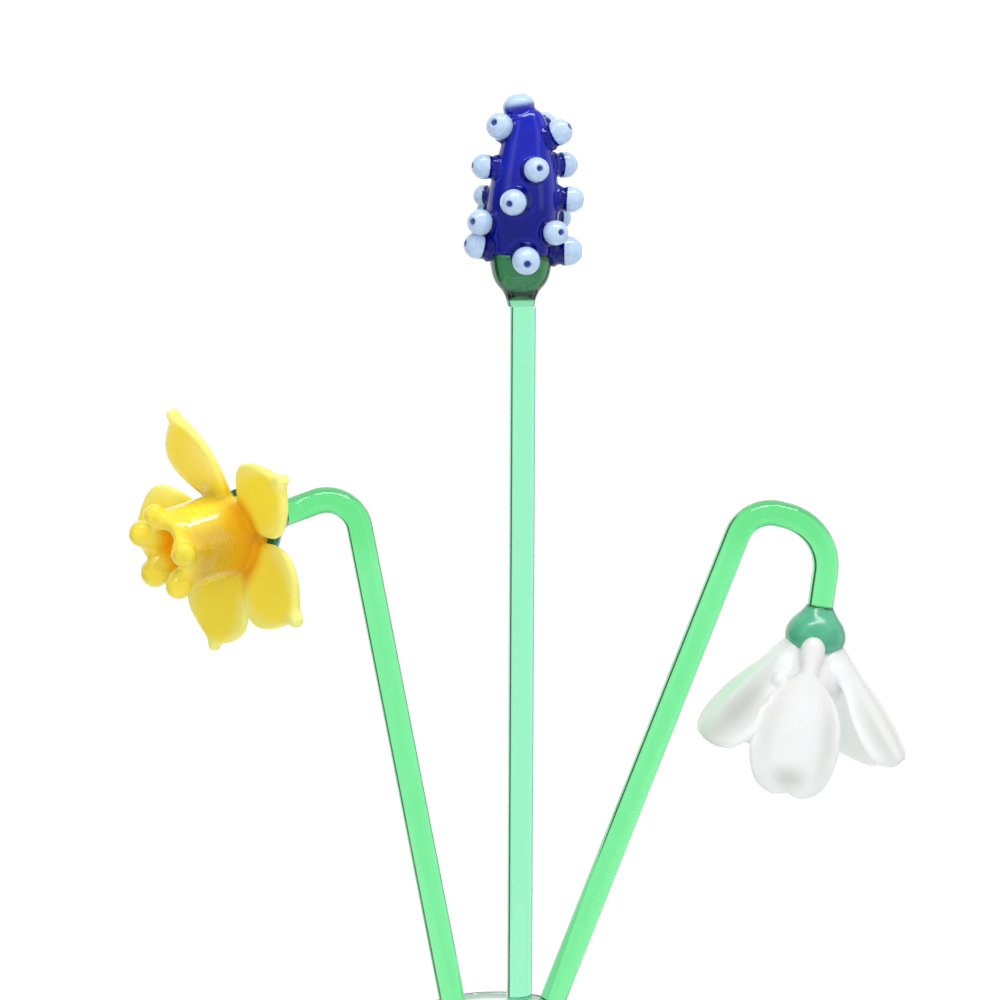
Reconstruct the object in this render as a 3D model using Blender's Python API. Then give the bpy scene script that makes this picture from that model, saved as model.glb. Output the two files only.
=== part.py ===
"""Three glass flowers on glass rods, standing in a small clear glass vase.

A yellow daffodil looks out to the left, a cobalt grape hyacinth stands upright in the middle,
and a white snowdrop hangs from an arched stem on the right.

Metres and degrees. +Z is up, +X is to the right and +Y points away from the viewer. The origin
is the middle of the flat underside of the vase.
"""

import math

import bmesh
import bpy
from mathutils import Euler, Matrix, Vector

# Clearance left between pieces that touch
GAP = 0.0003

# Vase: outer radius against height, above the rounded foot
VASE_HEIGHT = 0.085
VASE_FOOT_RADIUS = 0.0205
VASE_FOOT_ROUNDING = 0.0040
VASE_OUTLINE = (
    (0.0040, 0.0245),
    (0.0140, 0.0271),
    (0.0260, 0.0280),
    (0.0380, 0.0262),
    (0.0500, 0.0208),
    (0.0610, 0.0158),
    (0.0710, 0.0137),
    (0.0780, 0.0138),
    (0.0844, 0.0148),
)
VASE_WALL = 0.0013
VASE_FLOOR = 0.0060
VASE_INSIDE_CORNER = 0.0040
VASE_RING_STEP = 0.0060
VASE_SIDES = 36

# Stems: round rod, each bend rounded to its own radius
ROD_RADIUS = 0.0026
ROD_SIDES = 14
ROD_END_ROUNDING = 0.0008
BEND_STEP = 11.0

# Daffodil: the rod leans left, turns over and looks at the flower's back
DAFFODIL_FOOT = (0.0067, -0.0055, 0.0067)
DAFFODIL_ELBOW = (-0.0286, -0.0055, 0.1914)
DAFFODIL_ELBOW_RADIUS = 0.0066
DAFFODIL_KNEE = (-0.0388, -0.0055, 0.1878)
DAFFODIL_KNEE_RADIUS = 0.0070
DAFFODIL_NECK = 0.0150
DAFFODIL_NOD = 103.0
DAFFODIL_HEADING = 224.0

# Daffodil flower, along its own axis from the ring where the petals meet. The calyx's
# outline runs backward, the others forward
CALYX_BACK = -0.0010
CALYX_OUTLINE = (
    (0.0000, 0.0079),
    (0.0022, 0.0071),
    (0.0042, 0.0056),
    (0.0064, 0.0038),
    (0.0084, 0.0028),
)
HUB_RADIUS = 0.0066
HUB_FRONT = 0.0030
TRUMPET_NOD = 101.0
TRUMPET_HEADING = 215.6
TRUMPET_OUTLINE = (
    (0.0010, 0.0068),
    (0.0030, 0.0079),
    (0.0060, 0.0083),
    (0.0182, 0.0078),
)
TRUMPET_RIDGES = 8
TRUMPET_RIDGE_HEIGHT = 0.0003
TRUMPET_MOUTH_RADIUS = 0.0045
TRUMPET_MOUTH_DEPTH = 0.0095
# Inside of the mouth: height over its bottom as a share of its depth, share of its radius
TRUMPET_MOUTH_FORM = (
    (0.50, 0.88),
    (0.20, 0.72),
    (0.06, 0.40),
)
TRUMPET_SIDES = 30
LIP_KNOB_RADIUS = 0.0024
LIP_KNOB_RING = 0.0075
# Turn of each knob round the lip, distance along the trumpet, size
LIP_KNOBS = (
    (91.0, 0.0179, 1.00),
    (181.0, 0.0186, 0.88),
    (245.0, 0.0184, 1.10),
    (309.0, 0.0176, 1.20),
    (33.0, 0.0184, 1.06),
)

# Daffodil petals: turn round the axis, tilt forward, roll, width and length against the usual
DAFFODIL_PETALS = (
    (189.0, 21.0, -5.0, 0.91, 1.00),
    (122.0, 10.0, 0.0, 0.95, 0.84),
    (52.0, 16.0, -9.0, 1.07, 0.91),
    (-24.0, 10.0, -8.0, 0.93, 0.97),
    (-90.0, 22.0, 6.0, 1.19, 0.93),
)
# Distance of a petal's root from the axis, and along it
DAFFODIL_PETAL_SEAT = (0.0045, 0.0020)
DAFFODIL_PETAL_CUP = 0.0012
DAFFODIL_PETAL_ARCH = -8.0
# Distance along the petal, half width, half thickness
DAFFODIL_PETAL_FORM = (
    (0.0000, 0.0032, 0.0017),
    (0.0035, 0.0041, 0.0017),
    (0.0065, 0.0061, 0.0016),
    (0.0100, 0.0079, 0.0016),
    (0.0135, 0.0083, 0.0016),
    (0.0165, 0.0070, 0.0015),
    (0.0190, 0.0046, 0.0014),
    (0.0208, 0.0021, 0.0013),
    (0.0220, 0.0014, 0.0014),
    (0.0230, 0.0011, 0.0011),
)
DAFFODIL_PETAL_TIP = 0.0234

# Grape hyacinth: an upright rod, a clear cup and a blunt body covered with florets
HYACINTH_FOOT = (0.0043, 0.0055, 0.0063)
HYACINTH_TOP = (0.0053, 0.0055, 0.2285)
CUP_SHIFT = -0.0004
CUP_HEIGHT = 0.0084
CUP_OUTLINE = (
    (0.0000, 0.0030),
    (0.0015, 0.0037),
    (0.0031, 0.0050),
    (0.0050, 0.0058),
    (0.0084, 0.0064),
)
SPIKE_LEAN = 2.9
SPIKE_OUTLINE = (
    (0.0000, 0.0064),
    (0.0032, 0.0069),
    (0.0090, 0.0073),
    (0.0145, 0.0067),
    (0.0205, 0.0053),
    (0.0255, 0.0041),
    (0.0283, 0.0025),
)
SPIKE_HEIGHT = 0.0293
SPIKE_SIDES = 24
SPIKE_RINGS = 10
FLORET_SIDES = 10
# Distance out from the surface of the body, radius
FLORET_ROOT = (-0.0030, 0.0012)
FLORET_STUB = (
    (0.0000, 0.0027),
    (0.0011, 0.0022),
)
FLORET_CAP = (
    (0.0014, 0.0022),
    (0.0023, 0.0025),
    (0.0034, 0.0024),
    (0.0044, 0.0015),
    (0.0047, 0.0007),
)
FLORET_DIMPLE = 0.0041
# Height on the body, turn round it from the front towards the right, turn that the
# floret faces, rise, size
FLORETS = (
    (-0.0007, 7.0, 6.0, -14.0, 1.12),
    (0.0008, 92.0, 92.0, 4.0, 1.20),
    (0.0022, 182.0, 182.0, 0.0, 1.00),
    (0.0008, -80.0, -72.0, 8.0, 1.08),
    (0.0043, 52.0, 28.0, 4.0, 1.00),
    (0.0076, 130.0, 130.0, 0.0, 1.00),
    (0.0082, -130.0, -130.0, 0.0, 0.90),
    (0.0057, -75.0, -40.0, 2.0, 1.05),
    (0.0113, 86.0, 86.0, 0.0, 1.04),
    (0.0120, 174.0, 174.0, 0.0, 1.00),
    (0.0112, -119.0, -119.0, 0.0, 0.88),
    (0.0104, -10.0, -20.0, -9.0, 1.05),
    (0.0164, 14.0, 16.0, 6.0, 1.00),
    (0.0180, 110.0, 110.0, 4.0, 1.05),
    (0.0176, -158.0, -158.0, 4.0, 1.00),
    (0.0168, -76.0, -76.0, 2.0, 1.00),
    (0.0233, 72.0, 66.0, 28.0, 1.05),
    (0.0252, 148.0, 148.0, 24.0, 1.00),
    (0.0236, -140.0, -140.0, 24.0, 1.00),
    (0.0244, -80.0, -30.0, 14.0, 1.08),
)
# The florets low enough to reach into the clear cup come first
BASE_FLORETS = 4
# Aside from the axis, height, lean, width and height against the usual floret
CROWN_FLORET = (-0.0014, 0.0269, -13.0, 1.28, 1.02)

# Snowdrop: the rod leans right, arches over and hangs the flower
SNOWDROP_FOOT = (-0.0195, 0.0, 0.0073)
SNOWDROP_SHOULDER = (0.0504, 0.0, 0.1875)
SNOWDROP_SHOULDER_RADIUS = 0.0072
SNOWDROP_ELBOW = (0.0671, 0.0, 0.1833)
SNOWDROP_ELBOW_RADIUS = 0.0104
SNOWDROP_END = (0.0650, 0.0, 0.1676)
SNOWDROP_NOD = 171.0
SNOWDROP_HEADING = 180.0

# Snowdrop flower, along its own axis from the end of the rod
OVARY_OUTLINE = (
    (0.0000, 0.0027),
    (0.0016, 0.0038),
    (0.0034, 0.0053),
    (0.0056, 0.0061),
    (0.0078, 0.0057),
    (0.0091, 0.0043),
)
OVARY_LENGTH = 0.0096
OVARY_SIDES = 24
# Down the outside of the bell and up its inside
BELL_OUTLINE = (
    (0.0078, 0.0044),
    (0.0105, 0.0062),
    (0.0145, 0.0072),
    (0.0178, 0.0070),
    (0.0185, 0.0063),
    (0.0178, 0.0052),
    (0.0150, 0.0034),
)
BELL_HOLLOW = 0.0135
BELL_SIDES = 20

# Snowdrop petals: turn round the axis, tilt forward, roll, width and length against the usual
FRONT_PETAL = (97.0, 66.0, -6.0, 0.97, 1.08)
SIDE_PETALS = (
    (14.0, 38.0, 10.0, 1.06, 0.91),
    (-43.0, 43.0, 5.0, 0.95, 1.04),
    (-129.0, 62.0, 0.0, 1.00, 0.80),
    (166.0, 43.0, -16.0, 0.95, 0.91),
)
FRONT_PETAL_SEAT = (0.0052, 0.0078)
SIDE_PETAL_SEAT = (0.0040, 0.0088)
SNOWDROP_PETAL_CUP = 0.0015
SNOWDROP_PETAL_KEEL = 0.0009
SNOWDROP_PETAL_ARCH = 18.0
FRONT_PETAL_NOTCH = 0.0012
FRONT_PETAL_FORM = (
    (-0.0016, 0.0018, 0.0018),
    (0.0000, 0.0025, 0.0024),
    (0.0024, 0.0023, 0.0021),
    (0.0050, 0.0018, 0.0017),
    (0.0068, 0.0036, 0.0014),
    (0.0095, 0.0066, 0.0013),
    (0.0130, 0.0086, 0.0013),
    (0.0175, 0.0093, 0.0013),
    (0.0220, 0.0088, 0.0013),
    (0.0252, 0.0076, 0.0012),
    (0.0270, 0.0060, 0.0011),
    (0.0280, 0.0038, 0.0009),
)
FRONT_PETAL_TIP = 0.0284
SIDE_PETAL_FORM = (
    (-0.0016, 0.0018, 0.0018),
    (0.0000, 0.0040, 0.0024),
    (0.0024, 0.0046, 0.0021),
    (0.0050, 0.0048, 0.0017),
    (0.0075, 0.0054, 0.0014),
    (0.0105, 0.0068, 0.0013),
    (0.0140, 0.0084, 0.0013),
    (0.0180, 0.0092, 0.0013),
    (0.0220, 0.0092, 0.0013),
    (0.0248, 0.0083, 0.0012),
    (0.0268, 0.0065, 0.0011),
    (0.0280, 0.0040, 0.0009),
)
SIDE_PETAL_TIP = 0.0286

# Petals' cross-sections, and how softly the keel along the back is rounded
PETAL_SIDES = 12
KEEL_ROUNDING = 0.12


def clear_scene():
    for item in list(bpy.data.objects):
        bpy.data.objects.remove(item)


def glass(name, colour, roughness, clearness):
    """A Principled material for one colour of glass."""
    made = bpy.data.materials.new(name)
    made.use_nodes = True
    shader = made.node_tree.nodes["Principled BSDF"]
    shader.inputs["Base Color"].default_value = (*colour, 1.0)
    shader.inputs["Roughness"].default_value = roughness
    shader.inputs["Metallic"].default_value = 0.0
    shader.inputs["Transmission Weight"].default_value = clearness
    return made


def smooth_value(stations, at):
    """The value at a place on a smooth curve through (place, value) stations."""
    count = len(stations)
    for index in range(count - 1):
        here, there = stations[index], stations[index + 1]
        if at <= there[0] or index == count - 2:
            break
    before = stations[max(index - 1, 0)]
    after = stations[min(index + 2, count - 1)]
    span = there[0] - here[0]
    start_slope = (there[1] - before[1]) / (there[0] - before[0])
    end_slope = (after[1] - here[1]) / (after[0] - here[0])
    part = (at - here[0]) / span
    square, cube = part ** 2, part ** 3
    return (
        here[1] * (2 * cube - 3 * square + 1)
        + start_slope * span * (cube - 2 * square + part)
        + there[1] * (3 * square - 2 * cube)
        + end_slope * span * (cube - square)
    )


def skin(rings, start_tip, end_tip):
    """Faces between rings of points, closed at both ends on a single point."""
    made = bmesh.new()
    rows = [[made.verts.new(point) for point in ring] for ring in rings]
    sides = len(rows[0])
    for row, following in zip(rows, rows[1:]):
        for side in range(sides):
            beside = (side + 1) % sides
            made.faces.new((row[side], row[beside], following[beside], following[side]))
    for tip, row in ((start_tip, rows[0]), (end_tip, rows[-1])):
        point = made.verts.new(tip)
        for side in range(sides):
            made.faces.new((row[side], row[(side + 1) % sides], point))
    bmesh.ops.recalc_face_normals(made, faces=made.faces)
    return made


def turned(outline, sides, lowest, highest):
    """A shape turned round Z from (height, radius) pairs, closed on the axis at both ends."""
    rings = []
    for height, radius in outline:
        ring = []
        for side in range(sides):
            turn = 2 * math.pi * side / sides
            ring.append(Vector((radius * math.cos(turn), radius * math.sin(turn), height)))
        rings.append(ring)
    return skin(rings, Vector((0, 0, lowest)), Vector((0, 0, highest)))


def make_object(name, made, finish, sharp_angle=40.0):
    """An object from a bmesh, shaded smooth apart from its sharp edges."""
    mesh = bpy.data.meshes.new(name)
    made.to_mesh(mesh)
    made.free()
    mesh.shade_smooth()
    mesh.set_sharp_from_angle(angle=math.radians(sharp_angle))
    if finish:
        mesh.materials.append(finish)
    item = bpy.data.objects.new(name, mesh)
    bpy.context.scene.collection.objects.link(item)
    return item


def apply_boolean(item, operation, others):
    """Join or cut an object with others, which are then removed."""
    group = bpy.data.collections.new("operands")
    bpy.context.scene.collection.children.link(group)
    for other in others:
        group.objects.link(other)
    modifier = item.modifiers.new("boolean", "BOOLEAN")
    modifier.operation = operation
    modifier.operand_type = "COLLECTION"
    modifier.collection = group
    modifier.solver = "EXACT"
    graph = bpy.context.evaluated_depsgraph_get()
    result = bpy.data.meshes.new_from_object(item.evaluated_get(graph))
    item.modifiers.remove(modifier)
    item.data = result
    for other in others:
        bpy.data.objects.remove(other)
    bpy.data.collections.remove(group)


def place(item, holder):
    """Put an object in its place under the empty that holds its flower."""
    item.parent = holder


def empty(name, location, nod=0.0, heading=0.0):
    """An empty whose Z axis leans away from upright by nod, towards heading."""
    item = bpy.data.objects.new(name, None)
    bpy.context.scene.collection.objects.link(item)
    item.location = location
    item.rotation_euler = (0, math.radians(nod), math.radians(heading))
    return item


def aimed(nod, heading):
    """The turn that points an upright thing along nod and heading."""
    return Euler((0, math.radians(nod), math.radians(heading))).to_matrix()


def rounded_route(corners, radii):
    """A route through corners whose inner ones are rounded to the given radii."""
    points = [Vector(corners[0])]
    for before, corner, after, radius in zip(corners, corners[1:], corners[2:], radii):
        arriving = (Vector(corner) - Vector(before)).normalized()
        leaving = (Vector(after) - Vector(corner)).normalized()
        turn = arriving.angle(leaving)
        start = Vector(corner) - arriving * radius * math.tan(turn / 2)
        inward = (leaving - arriving * arriving.dot(leaving)).normalized()
        steps = max(2, round(math.degrees(turn) / BEND_STEP))
        for step in range(steps + 1):
            part = turn * step / steps
            points.append(
                start
                + arriving * radius * math.sin(part)
                + inward * radius * (1 - math.cos(part))
            )
    points.append(Vector(corners[-1]))
    return points


def rod(name, points, finish):
    """A round glass rod along a route, with a rounded foot."""
    rings = []
    across = Vector((0, 1, 0))
    last = len(points) - 1
    for index, point in enumerate(points):
        along = (points[min(index + 1, last)] - points[max(index - 1, 0)]).normalized()
        across = (across - along * across.dot(along)).normalized()
        beside = along.cross(across)
        if index == 0:
            rings.append(rod_ring(point, across, beside, ROD_RADIUS - ROD_END_ROUNDING))
            point = point + along * ROD_END_ROUNDING
        rings.append(rod_ring(point, across, beside, ROD_RADIUS))
    return make_object(name, skin(rings, points[0], points[-1]), finish)


def rod_ring(centre, across, beside, radius):
    ring = []
    for side in range(ROD_SIDES):
        turn = 2 * math.pi * side / ROD_SIDES
        ring.append(centre + (across * math.cos(turn) + beside * math.sin(turn)) * radius)
    return ring


def petal(form, tip, cup, arch, notch=0.0, keel=0.0):
    """A leaf-shaped petal along +X from its root, hollowed towards +Z, with a keel along its back."""
    widest = max(row[1] for row in form)
    end = form[-1][0]
    place_x, place_z, last = form[0][0], 0.0, form[0][0]
    rings = []
    for distance, half_width, half_thickness in form:
        lean = math.radians(arch) * max(distance, 0.0) / end
        place_x += (distance - last) * math.cos(lean)
        place_z += (distance - last) * math.sin(lean)
        last = distance
        along = Vector((math.cos(lean), 0, math.sin(lean)))
        up = Vector((-math.sin(lean), 0, math.cos(lean)))
        drawn = notch * (max(distance, 0.0) / end) ** 3
        ring = []
        for side in range(PETAL_SIDES):
            turn = 2 * math.pi * side / PETAL_SIDES
            part = math.cos(turn)
            share = half_width / widest
            rise = half_thickness * math.sin(turn) + cup * (share * part) ** 2
            rise += keel * share * math.hypot(part, KEEL_ROUNDING)
            point = Vector((place_x, half_width * part, place_z)) + up * rise
            ring.append(point - along * drawn * math.cos(math.pi * part) * (1 - part ** 2))
        rings.append(ring)
    return skin(rings, middle(rings[0]), middle(rings[-1]) + along * (tip - end - notch))


def middle(ring):
    return sum(ring, Vector()) / len(ring)


def around(turn, seat, tilt, roll=0.0):
    """Where a petal goes: turned round the axis, its root out from it, tilted forward, rolled."""
    root, along = seat
    return (
        Matrix.Rotation(math.radians(turn), 4, "Z")
        @ Matrix.Translation((root, 0, along))
        @ Matrix.Rotation(math.radians(-tilt), 4, "Y")
        @ Matrix.Rotation(math.radians(roll), 4, "X")
    )


def seated(made, row, seat):
    """A petal moved to its place on the flower, with its own width and length."""
    turn, tilt, roll, width, length = row
    made.transform(around(turn, seat, tilt, roll) @ Matrix.Diagonal((length, width, 1, 1)))
    return made


def vase(finish):
    """The vase: a turned shell with a thick flat base and a rounded lip."""
    lip_middle = VASE_OUTLINE[-1][1] - VASE_WALL / 2
    lip_round = VASE_WALL / 2
    first, last = VASE_OUTLINE[0][0], VASE_OUTLINE[-1][0]
    steps = round((last - first) / VASE_RING_STEP)
    heights = [first + (last - first) * step / steps for step in range(steps + 1)]
    outline = [(0.0, VASE_FOOT_RADIUS)]
    for angle in (30, 60):
        turn = math.radians(angle)
        outline.append((
            VASE_FOOT_ROUNDING * (1 - math.cos(turn)),
            VASE_FOOT_RADIUS + (VASE_OUTLINE[0][1] - VASE_FOOT_RADIUS) * math.sin(turn),
        ))
    outline += [(height, smooth_value(VASE_OUTLINE, height)) for height in heights]
    for angle in (30, 60, 90, 120, 150):
        turn = math.radians(angle)
        outline.append((
            VASE_HEIGHT - lip_round * (1 - math.sin(turn)),
            lip_middle + lip_round * math.cos(turn),
        ))
    corner_height = VASE_FLOOR + VASE_INSIDE_CORNER
    inside = [height for height in heights if height > corner_height + VASE_RING_STEP / 3]
    outline += [(height, smooth_value(VASE_OUTLINE, height) - VASE_WALL) for height in reversed(inside)]
    corner_radius = smooth_value(VASE_OUTLINE, corner_height) - VASE_WALL - VASE_INSIDE_CORNER
    for angle in (0, 30, 60, 90):
        turn = math.radians(angle)
        outline.append((
            corner_height - VASE_INSIDE_CORNER * math.sin(turn),
            corner_radius + VASE_INSIDE_CORNER * math.cos(turn),
        ))
    return make_object("vase", turned(outline, VASE_SIDES, 0.0, VASE_FLOOR), finish)


def daffodil(green, dark_green, yellow):
    facing = aimed(DAFFODIL_NOD, DAFFODIL_HEADING) @ Vector((0, 0, 1))
    centre = Vector(DAFFODIL_KNEE) + facing * DAFFODIL_NECK
    stem_end = centre + facing * (CALYX_BACK - CALYX_OUTLINE[-1][0] - GAP)
    route = rounded_route(
        (DAFFODIL_FOOT, DAFFODIL_ELBOW, DAFFODIL_KNEE, stem_end),
        (DAFFODIL_ELBOW_RADIUS, DAFFODIL_KNEE_RADIUS),
    )
    rod("daffodil_stem", route, green)
    holder = empty("daffodil_place", centre, DAFFODIL_NOD, DAFFODIL_HEADING)
    place(daffodil_calyx(dark_green), holder)
    place(daffodil_bloom(yellow), holder)


def daffodil_calyx(finish):
    outline = [(CALYX_BACK - height, radius) for height, radius in CALYX_OUTLINE]
    made = turned(outline, SPIKE_SIDES, outline[0][0], outline[-1][0])
    return make_object("daffodil_calyx", made, finish)


def daffodil_bloom(finish):
    """Five petals and a wound trumpet with five knobs on its lip, as one piece."""
    skew = aimed(DAFFODIL_NOD, DAFFODIL_HEADING).inverted() @ aimed(TRUMPET_NOD, TRUMPET_HEADING)
    skew = skew.to_4x4()
    horn = trumpet()
    horn.transform(skew)
    bloom = make_object("daffodil_bloom", horn, finish)
    back = CALYX_BACK + GAP
    hub = turned(((back, HUB_RADIUS), (HUB_FRONT, HUB_RADIUS)), TRUMPET_SIDES, back, HUB_FRONT)
    others = [make_object("hub", hub, finish)]
    for row in DAFFODIL_PETALS:
        made = petal(DAFFODIL_PETAL_FORM, DAFFODIL_PETAL_TIP, DAFFODIL_PETAL_CUP, DAFFODIL_PETAL_ARCH)
        others.append(make_object("petal", seated(made, row, DAFFODIL_PETAL_SEAT), finish))
    for turn, distance, size in LIP_KNOBS:
        made = bmesh.new()
        bmesh.ops.create_icosphere(made, subdivisions=2, radius=LIP_KNOB_RADIUS * size)
        made.transform(skew @ around(turn, (LIP_KNOB_RING, distance), 0.0))
        others.append(make_object("knob", made, finish))
    apply_boolean(bloom, "UNION", others)
    return bloom


def trumpet():
    """A cup wound in rings, solid and waisted at its back."""
    back = TRUMPET_OUTLINE[0][0]
    lip, lip_radius = TRUMPET_OUTLINE[-1]
    ridge_steps = 2 * TRUMPET_RIDGES
    outline = []
    for step in range(ridge_steps):
        height = back + (lip - back) * step / ridge_steps
        ridge = TRUMPET_RIDGE_HEIGHT if step % 2 else -TRUMPET_RIDGE_HEIGHT
        outline.append((height, smooth_value(TRUMPET_OUTLINE, height) + ridge))
    lip_round = (lip_radius - TRUMPET_MOUTH_RADIUS) / 2
    for angle in (0, 45, 90, 135, 180):
        turn = math.radians(angle)
        outline.append((
            lip + lip_round * math.sin(turn),
            lip_radius - lip_round * (1 - math.cos(turn)),
        ))
    bottom = lip - TRUMPET_MOUTH_DEPTH
    for rise, share in TRUMPET_MOUTH_FORM:
        outline.append((bottom + rise * TRUMPET_MOUTH_DEPTH, share * TRUMPET_MOUTH_RADIUS))
    return turned(outline, TRUMPET_SIDES, back, bottom)


def hyacinth(mint, clear_green, blue):
    rod("hyacinth_stem", [Vector(HYACINTH_FOOT), Vector(HYACINTH_TOP)], mint)
    cup_place = empty("hyacinth_place", Vector(HYACINTH_TOP) + Vector((CUP_SHIFT, 0, GAP)))
    dip = SPIKE_OUTLINE[0][1] * math.sin(math.radians(SPIKE_LEAN))
    spike_foot = cup_place.location + Vector((0, 0, CUP_HEIGHT + GAP + dip))
    spike_place = empty("spike_place", spike_foot, SPIKE_LEAN)
    spike = hyacinth_spike(blue)
    cup = make_object("hyacinth_base", turned(CUP_OUTLINE, SPIKE_SIDES, 0.0, CUP_HEIGHT), clear_green)
    place(cup, cup_place)
    place(spike, spike_place)
    cutters = []
    for number in range(BASE_FLORETS):
        cutter = make_object("cutter", floret(FLORETS[number], grown=GAP), None)
        place(cutter, spike_place)
        cutters.append(cutter)
    apply_boolean(cup, "DIFFERENCE", cutters)


def hyacinth_spike(finish):
    """The blunt body and all its florets, as one piece."""
    outline = []
    for step in range(SPIKE_RINGS + 1):
        height = SPIKE_OUTLINE[-1][0] * step / SPIKE_RINGS
        outline.append((height, smooth_value(SPIKE_OUTLINE, height)))
    spike = make_object("hyacinth_spike", turned(outline, SPIKE_SIDES, 0.0, SPIKE_HEIGHT), finish)
    others = [make_object("floret", floret(row), finish) for row in FLORETS]
    others.append(make_object("crown", crown_floret(), finish))
    apply_boolean(spike, "UNION", others)
    return spike


def floret_form(size, grown=0.0):
    """A stub with a dimpled cap, standing along +Z, its root sunk below the surface."""
    underside, *front = FLORET_CAP
    root = FLORET_ROOT[0] - grown
    outline = [(root, FLORET_ROOT[1] + grown)]
    outline += [(height * size, radius * size + grown) for height, radius in FLORET_STUB]
    outline.append((underside[0] * size - grown, underside[1] * size + grown))
    outline += [(height * size + grown, radius * size + grown) for height, radius in front]
    return turned(outline, FLORET_SIDES, root, FLORET_DIMPLE * size + grown)


def floret(row, grown=0.0):
    """One floret standing out of the body at its height, turn and rise."""
    height, turn, facing, rise, size = row
    made = floret_form(size, grown)
    made.transform(
        Matrix.Rotation(math.radians(turn - 90.0), 4, "Z")
        @ Matrix.Translation((smooth_value(SPIKE_OUTLINE, height), 0, height))
        @ Matrix.Rotation(math.radians(facing - turn), 4, "Z")
        @ Matrix.Rotation(math.radians(90.0 - rise), 4, "Y")
    )
    return made


def crown_floret():
    """The broad flat floret on the very top."""
    aside, height, lean, width, tall = CROWN_FLORET
    made = floret_form(1.0)
    made.transform(
        Matrix.Translation((aside, 0, height))
        @ Matrix.Rotation(math.radians(lean), 4, "Y")
        @ Matrix.Diagonal((width, width, tall, 1))
    )
    return made


def snowdrop(green, deep_green, white):
    route = rounded_route(
        (SNOWDROP_FOOT, SNOWDROP_SHOULDER, SNOWDROP_ELBOW, SNOWDROP_END),
        (SNOWDROP_SHOULDER_RADIUS, SNOWDROP_ELBOW_RADIUS),
    )
    rod("snowdrop_stem", route, green)
    facing = aimed(SNOWDROP_NOD, SNOWDROP_HEADING) @ Vector((0, 0, 1))
    holder = empty("snowdrop_place", Vector(SNOWDROP_END) + facing * GAP, SNOWDROP_NOD, SNOWDROP_HEADING)
    place(make_object("snowdrop_ovary", ovary(0.0), deep_green), holder)
    place(snowdrop_bloom(white), holder)


def ovary(grown):
    """The turned ovary, grown by the same clearance all over where it cuts the bloom."""
    half = OVARY_LENGTH / 2
    stretch = 1 + grown / half
    outline = [(half + (height - half) * stretch, radius + grown) for height, radius in OVARY_OUTLINE]
    return turned(outline, OVARY_SIDES, -grown, OVARY_LENGTH + grown)


def snowdrop_bloom(finish):
    """Five petals round a small bell, as one piece, seated on the ovary."""
    bell = turned(BELL_OUTLINE, BELL_SIDES, BELL_OUTLINE[0][0], BELL_HOLLOW)
    bloom = make_object("snowdrop_bloom", bell, finish)
    front = petal(
        FRONT_PETAL_FORM, FRONT_PETAL_TIP, SNOWDROP_PETAL_CUP, SNOWDROP_PETAL_ARCH,
        FRONT_PETAL_NOTCH, SNOWDROP_PETAL_KEEL,
    )
    others = [make_object("petal", seated(front, FRONT_PETAL, FRONT_PETAL_SEAT), finish)]
    for row in SIDE_PETALS:
        side = petal(
            SIDE_PETAL_FORM, SIDE_PETAL_TIP, SNOWDROP_PETAL_CUP, SNOWDROP_PETAL_ARCH,
            keel=SNOWDROP_PETAL_KEEL,
        )
        others.append(make_object("petal", seated(side, row, SIDE_PETAL_SEAT), finish))
    apply_boolean(bloom, "UNION", others)
    apply_boolean(bloom, "DIFFERENCE", [make_object("cutter", ovary(GAP), None)])
    return bloom


def main():
    clear_scene()
    green = glass("rod green glass", (0.23, 0.90, 0.37), 0.03, 0.9)
    mint = glass("mint green glass", (0.36, 0.93, 0.62), 0.03, 0.9)
    dark_green = glass("teal glass", (0.03, 0.25, 0.13), 0.05, 0.5)
    yellow = glass("yellow glass", (0.95, 0.76, 0.04), 0.08, 0.0)
    clear_green = glass("emerald glass", (0.06, 0.45, 0.18), 0.03, 0.9)
    blue = glass("cobalt glass", (0.02, 0.02, 0.45), 0.06, 0.0)
    deep_green = glass("sea green glass", (0.06, 0.48, 0.24), 0.06, 0.0)
    white = glass("white opal glass", (0.92, 0.93, 0.92), 0.08, 0.0)
    vase(glass("clear glass", (0.96, 0.98, 0.97), 0.02, 1.0))
    daffodil(green, dark_green, yellow)
    hyacinth(mint, clear_green, blue)
    snowdrop(green, deep_green, white)


main()
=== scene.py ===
"""Three flame-worked glass flowers on green rods in a small clear vase, dressed for their picture.

Metres and degrees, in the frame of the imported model: +Z up, +X to the right, +Y away from the
viewer, and the origin under the middle of the vase.
"""

import math

import bmesh
import bpy
import numpy as np
from mathutils import Euler, Matrix, Vector


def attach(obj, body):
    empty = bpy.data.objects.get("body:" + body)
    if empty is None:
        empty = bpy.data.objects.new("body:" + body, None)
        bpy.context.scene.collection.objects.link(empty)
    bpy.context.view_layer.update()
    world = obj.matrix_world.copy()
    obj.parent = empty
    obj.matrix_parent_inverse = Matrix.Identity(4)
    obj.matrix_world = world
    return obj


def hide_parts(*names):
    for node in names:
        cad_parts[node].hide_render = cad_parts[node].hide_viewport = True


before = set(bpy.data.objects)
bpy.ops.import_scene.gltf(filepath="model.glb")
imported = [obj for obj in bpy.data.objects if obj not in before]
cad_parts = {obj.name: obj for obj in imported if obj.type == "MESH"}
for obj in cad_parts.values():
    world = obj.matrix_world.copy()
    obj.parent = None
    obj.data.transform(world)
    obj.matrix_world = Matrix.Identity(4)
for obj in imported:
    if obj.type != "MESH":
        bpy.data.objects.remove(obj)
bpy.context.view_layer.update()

# Camera and studio
CAMERA_PLACE = (0.0007, -0.59572, 0.24086)
CAMERA_TURN = (85.0, 0.0, 0.0)
CAMERA_LENS = 107.64
SENSOR_WIDTH = 36.0
BACK_LIGHT = 1.06
FRONT_LIGHT = 0.45
FRONT_TO_BACK = (-0.25, 0.45)
TOP_SHADE = 0.55
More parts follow.
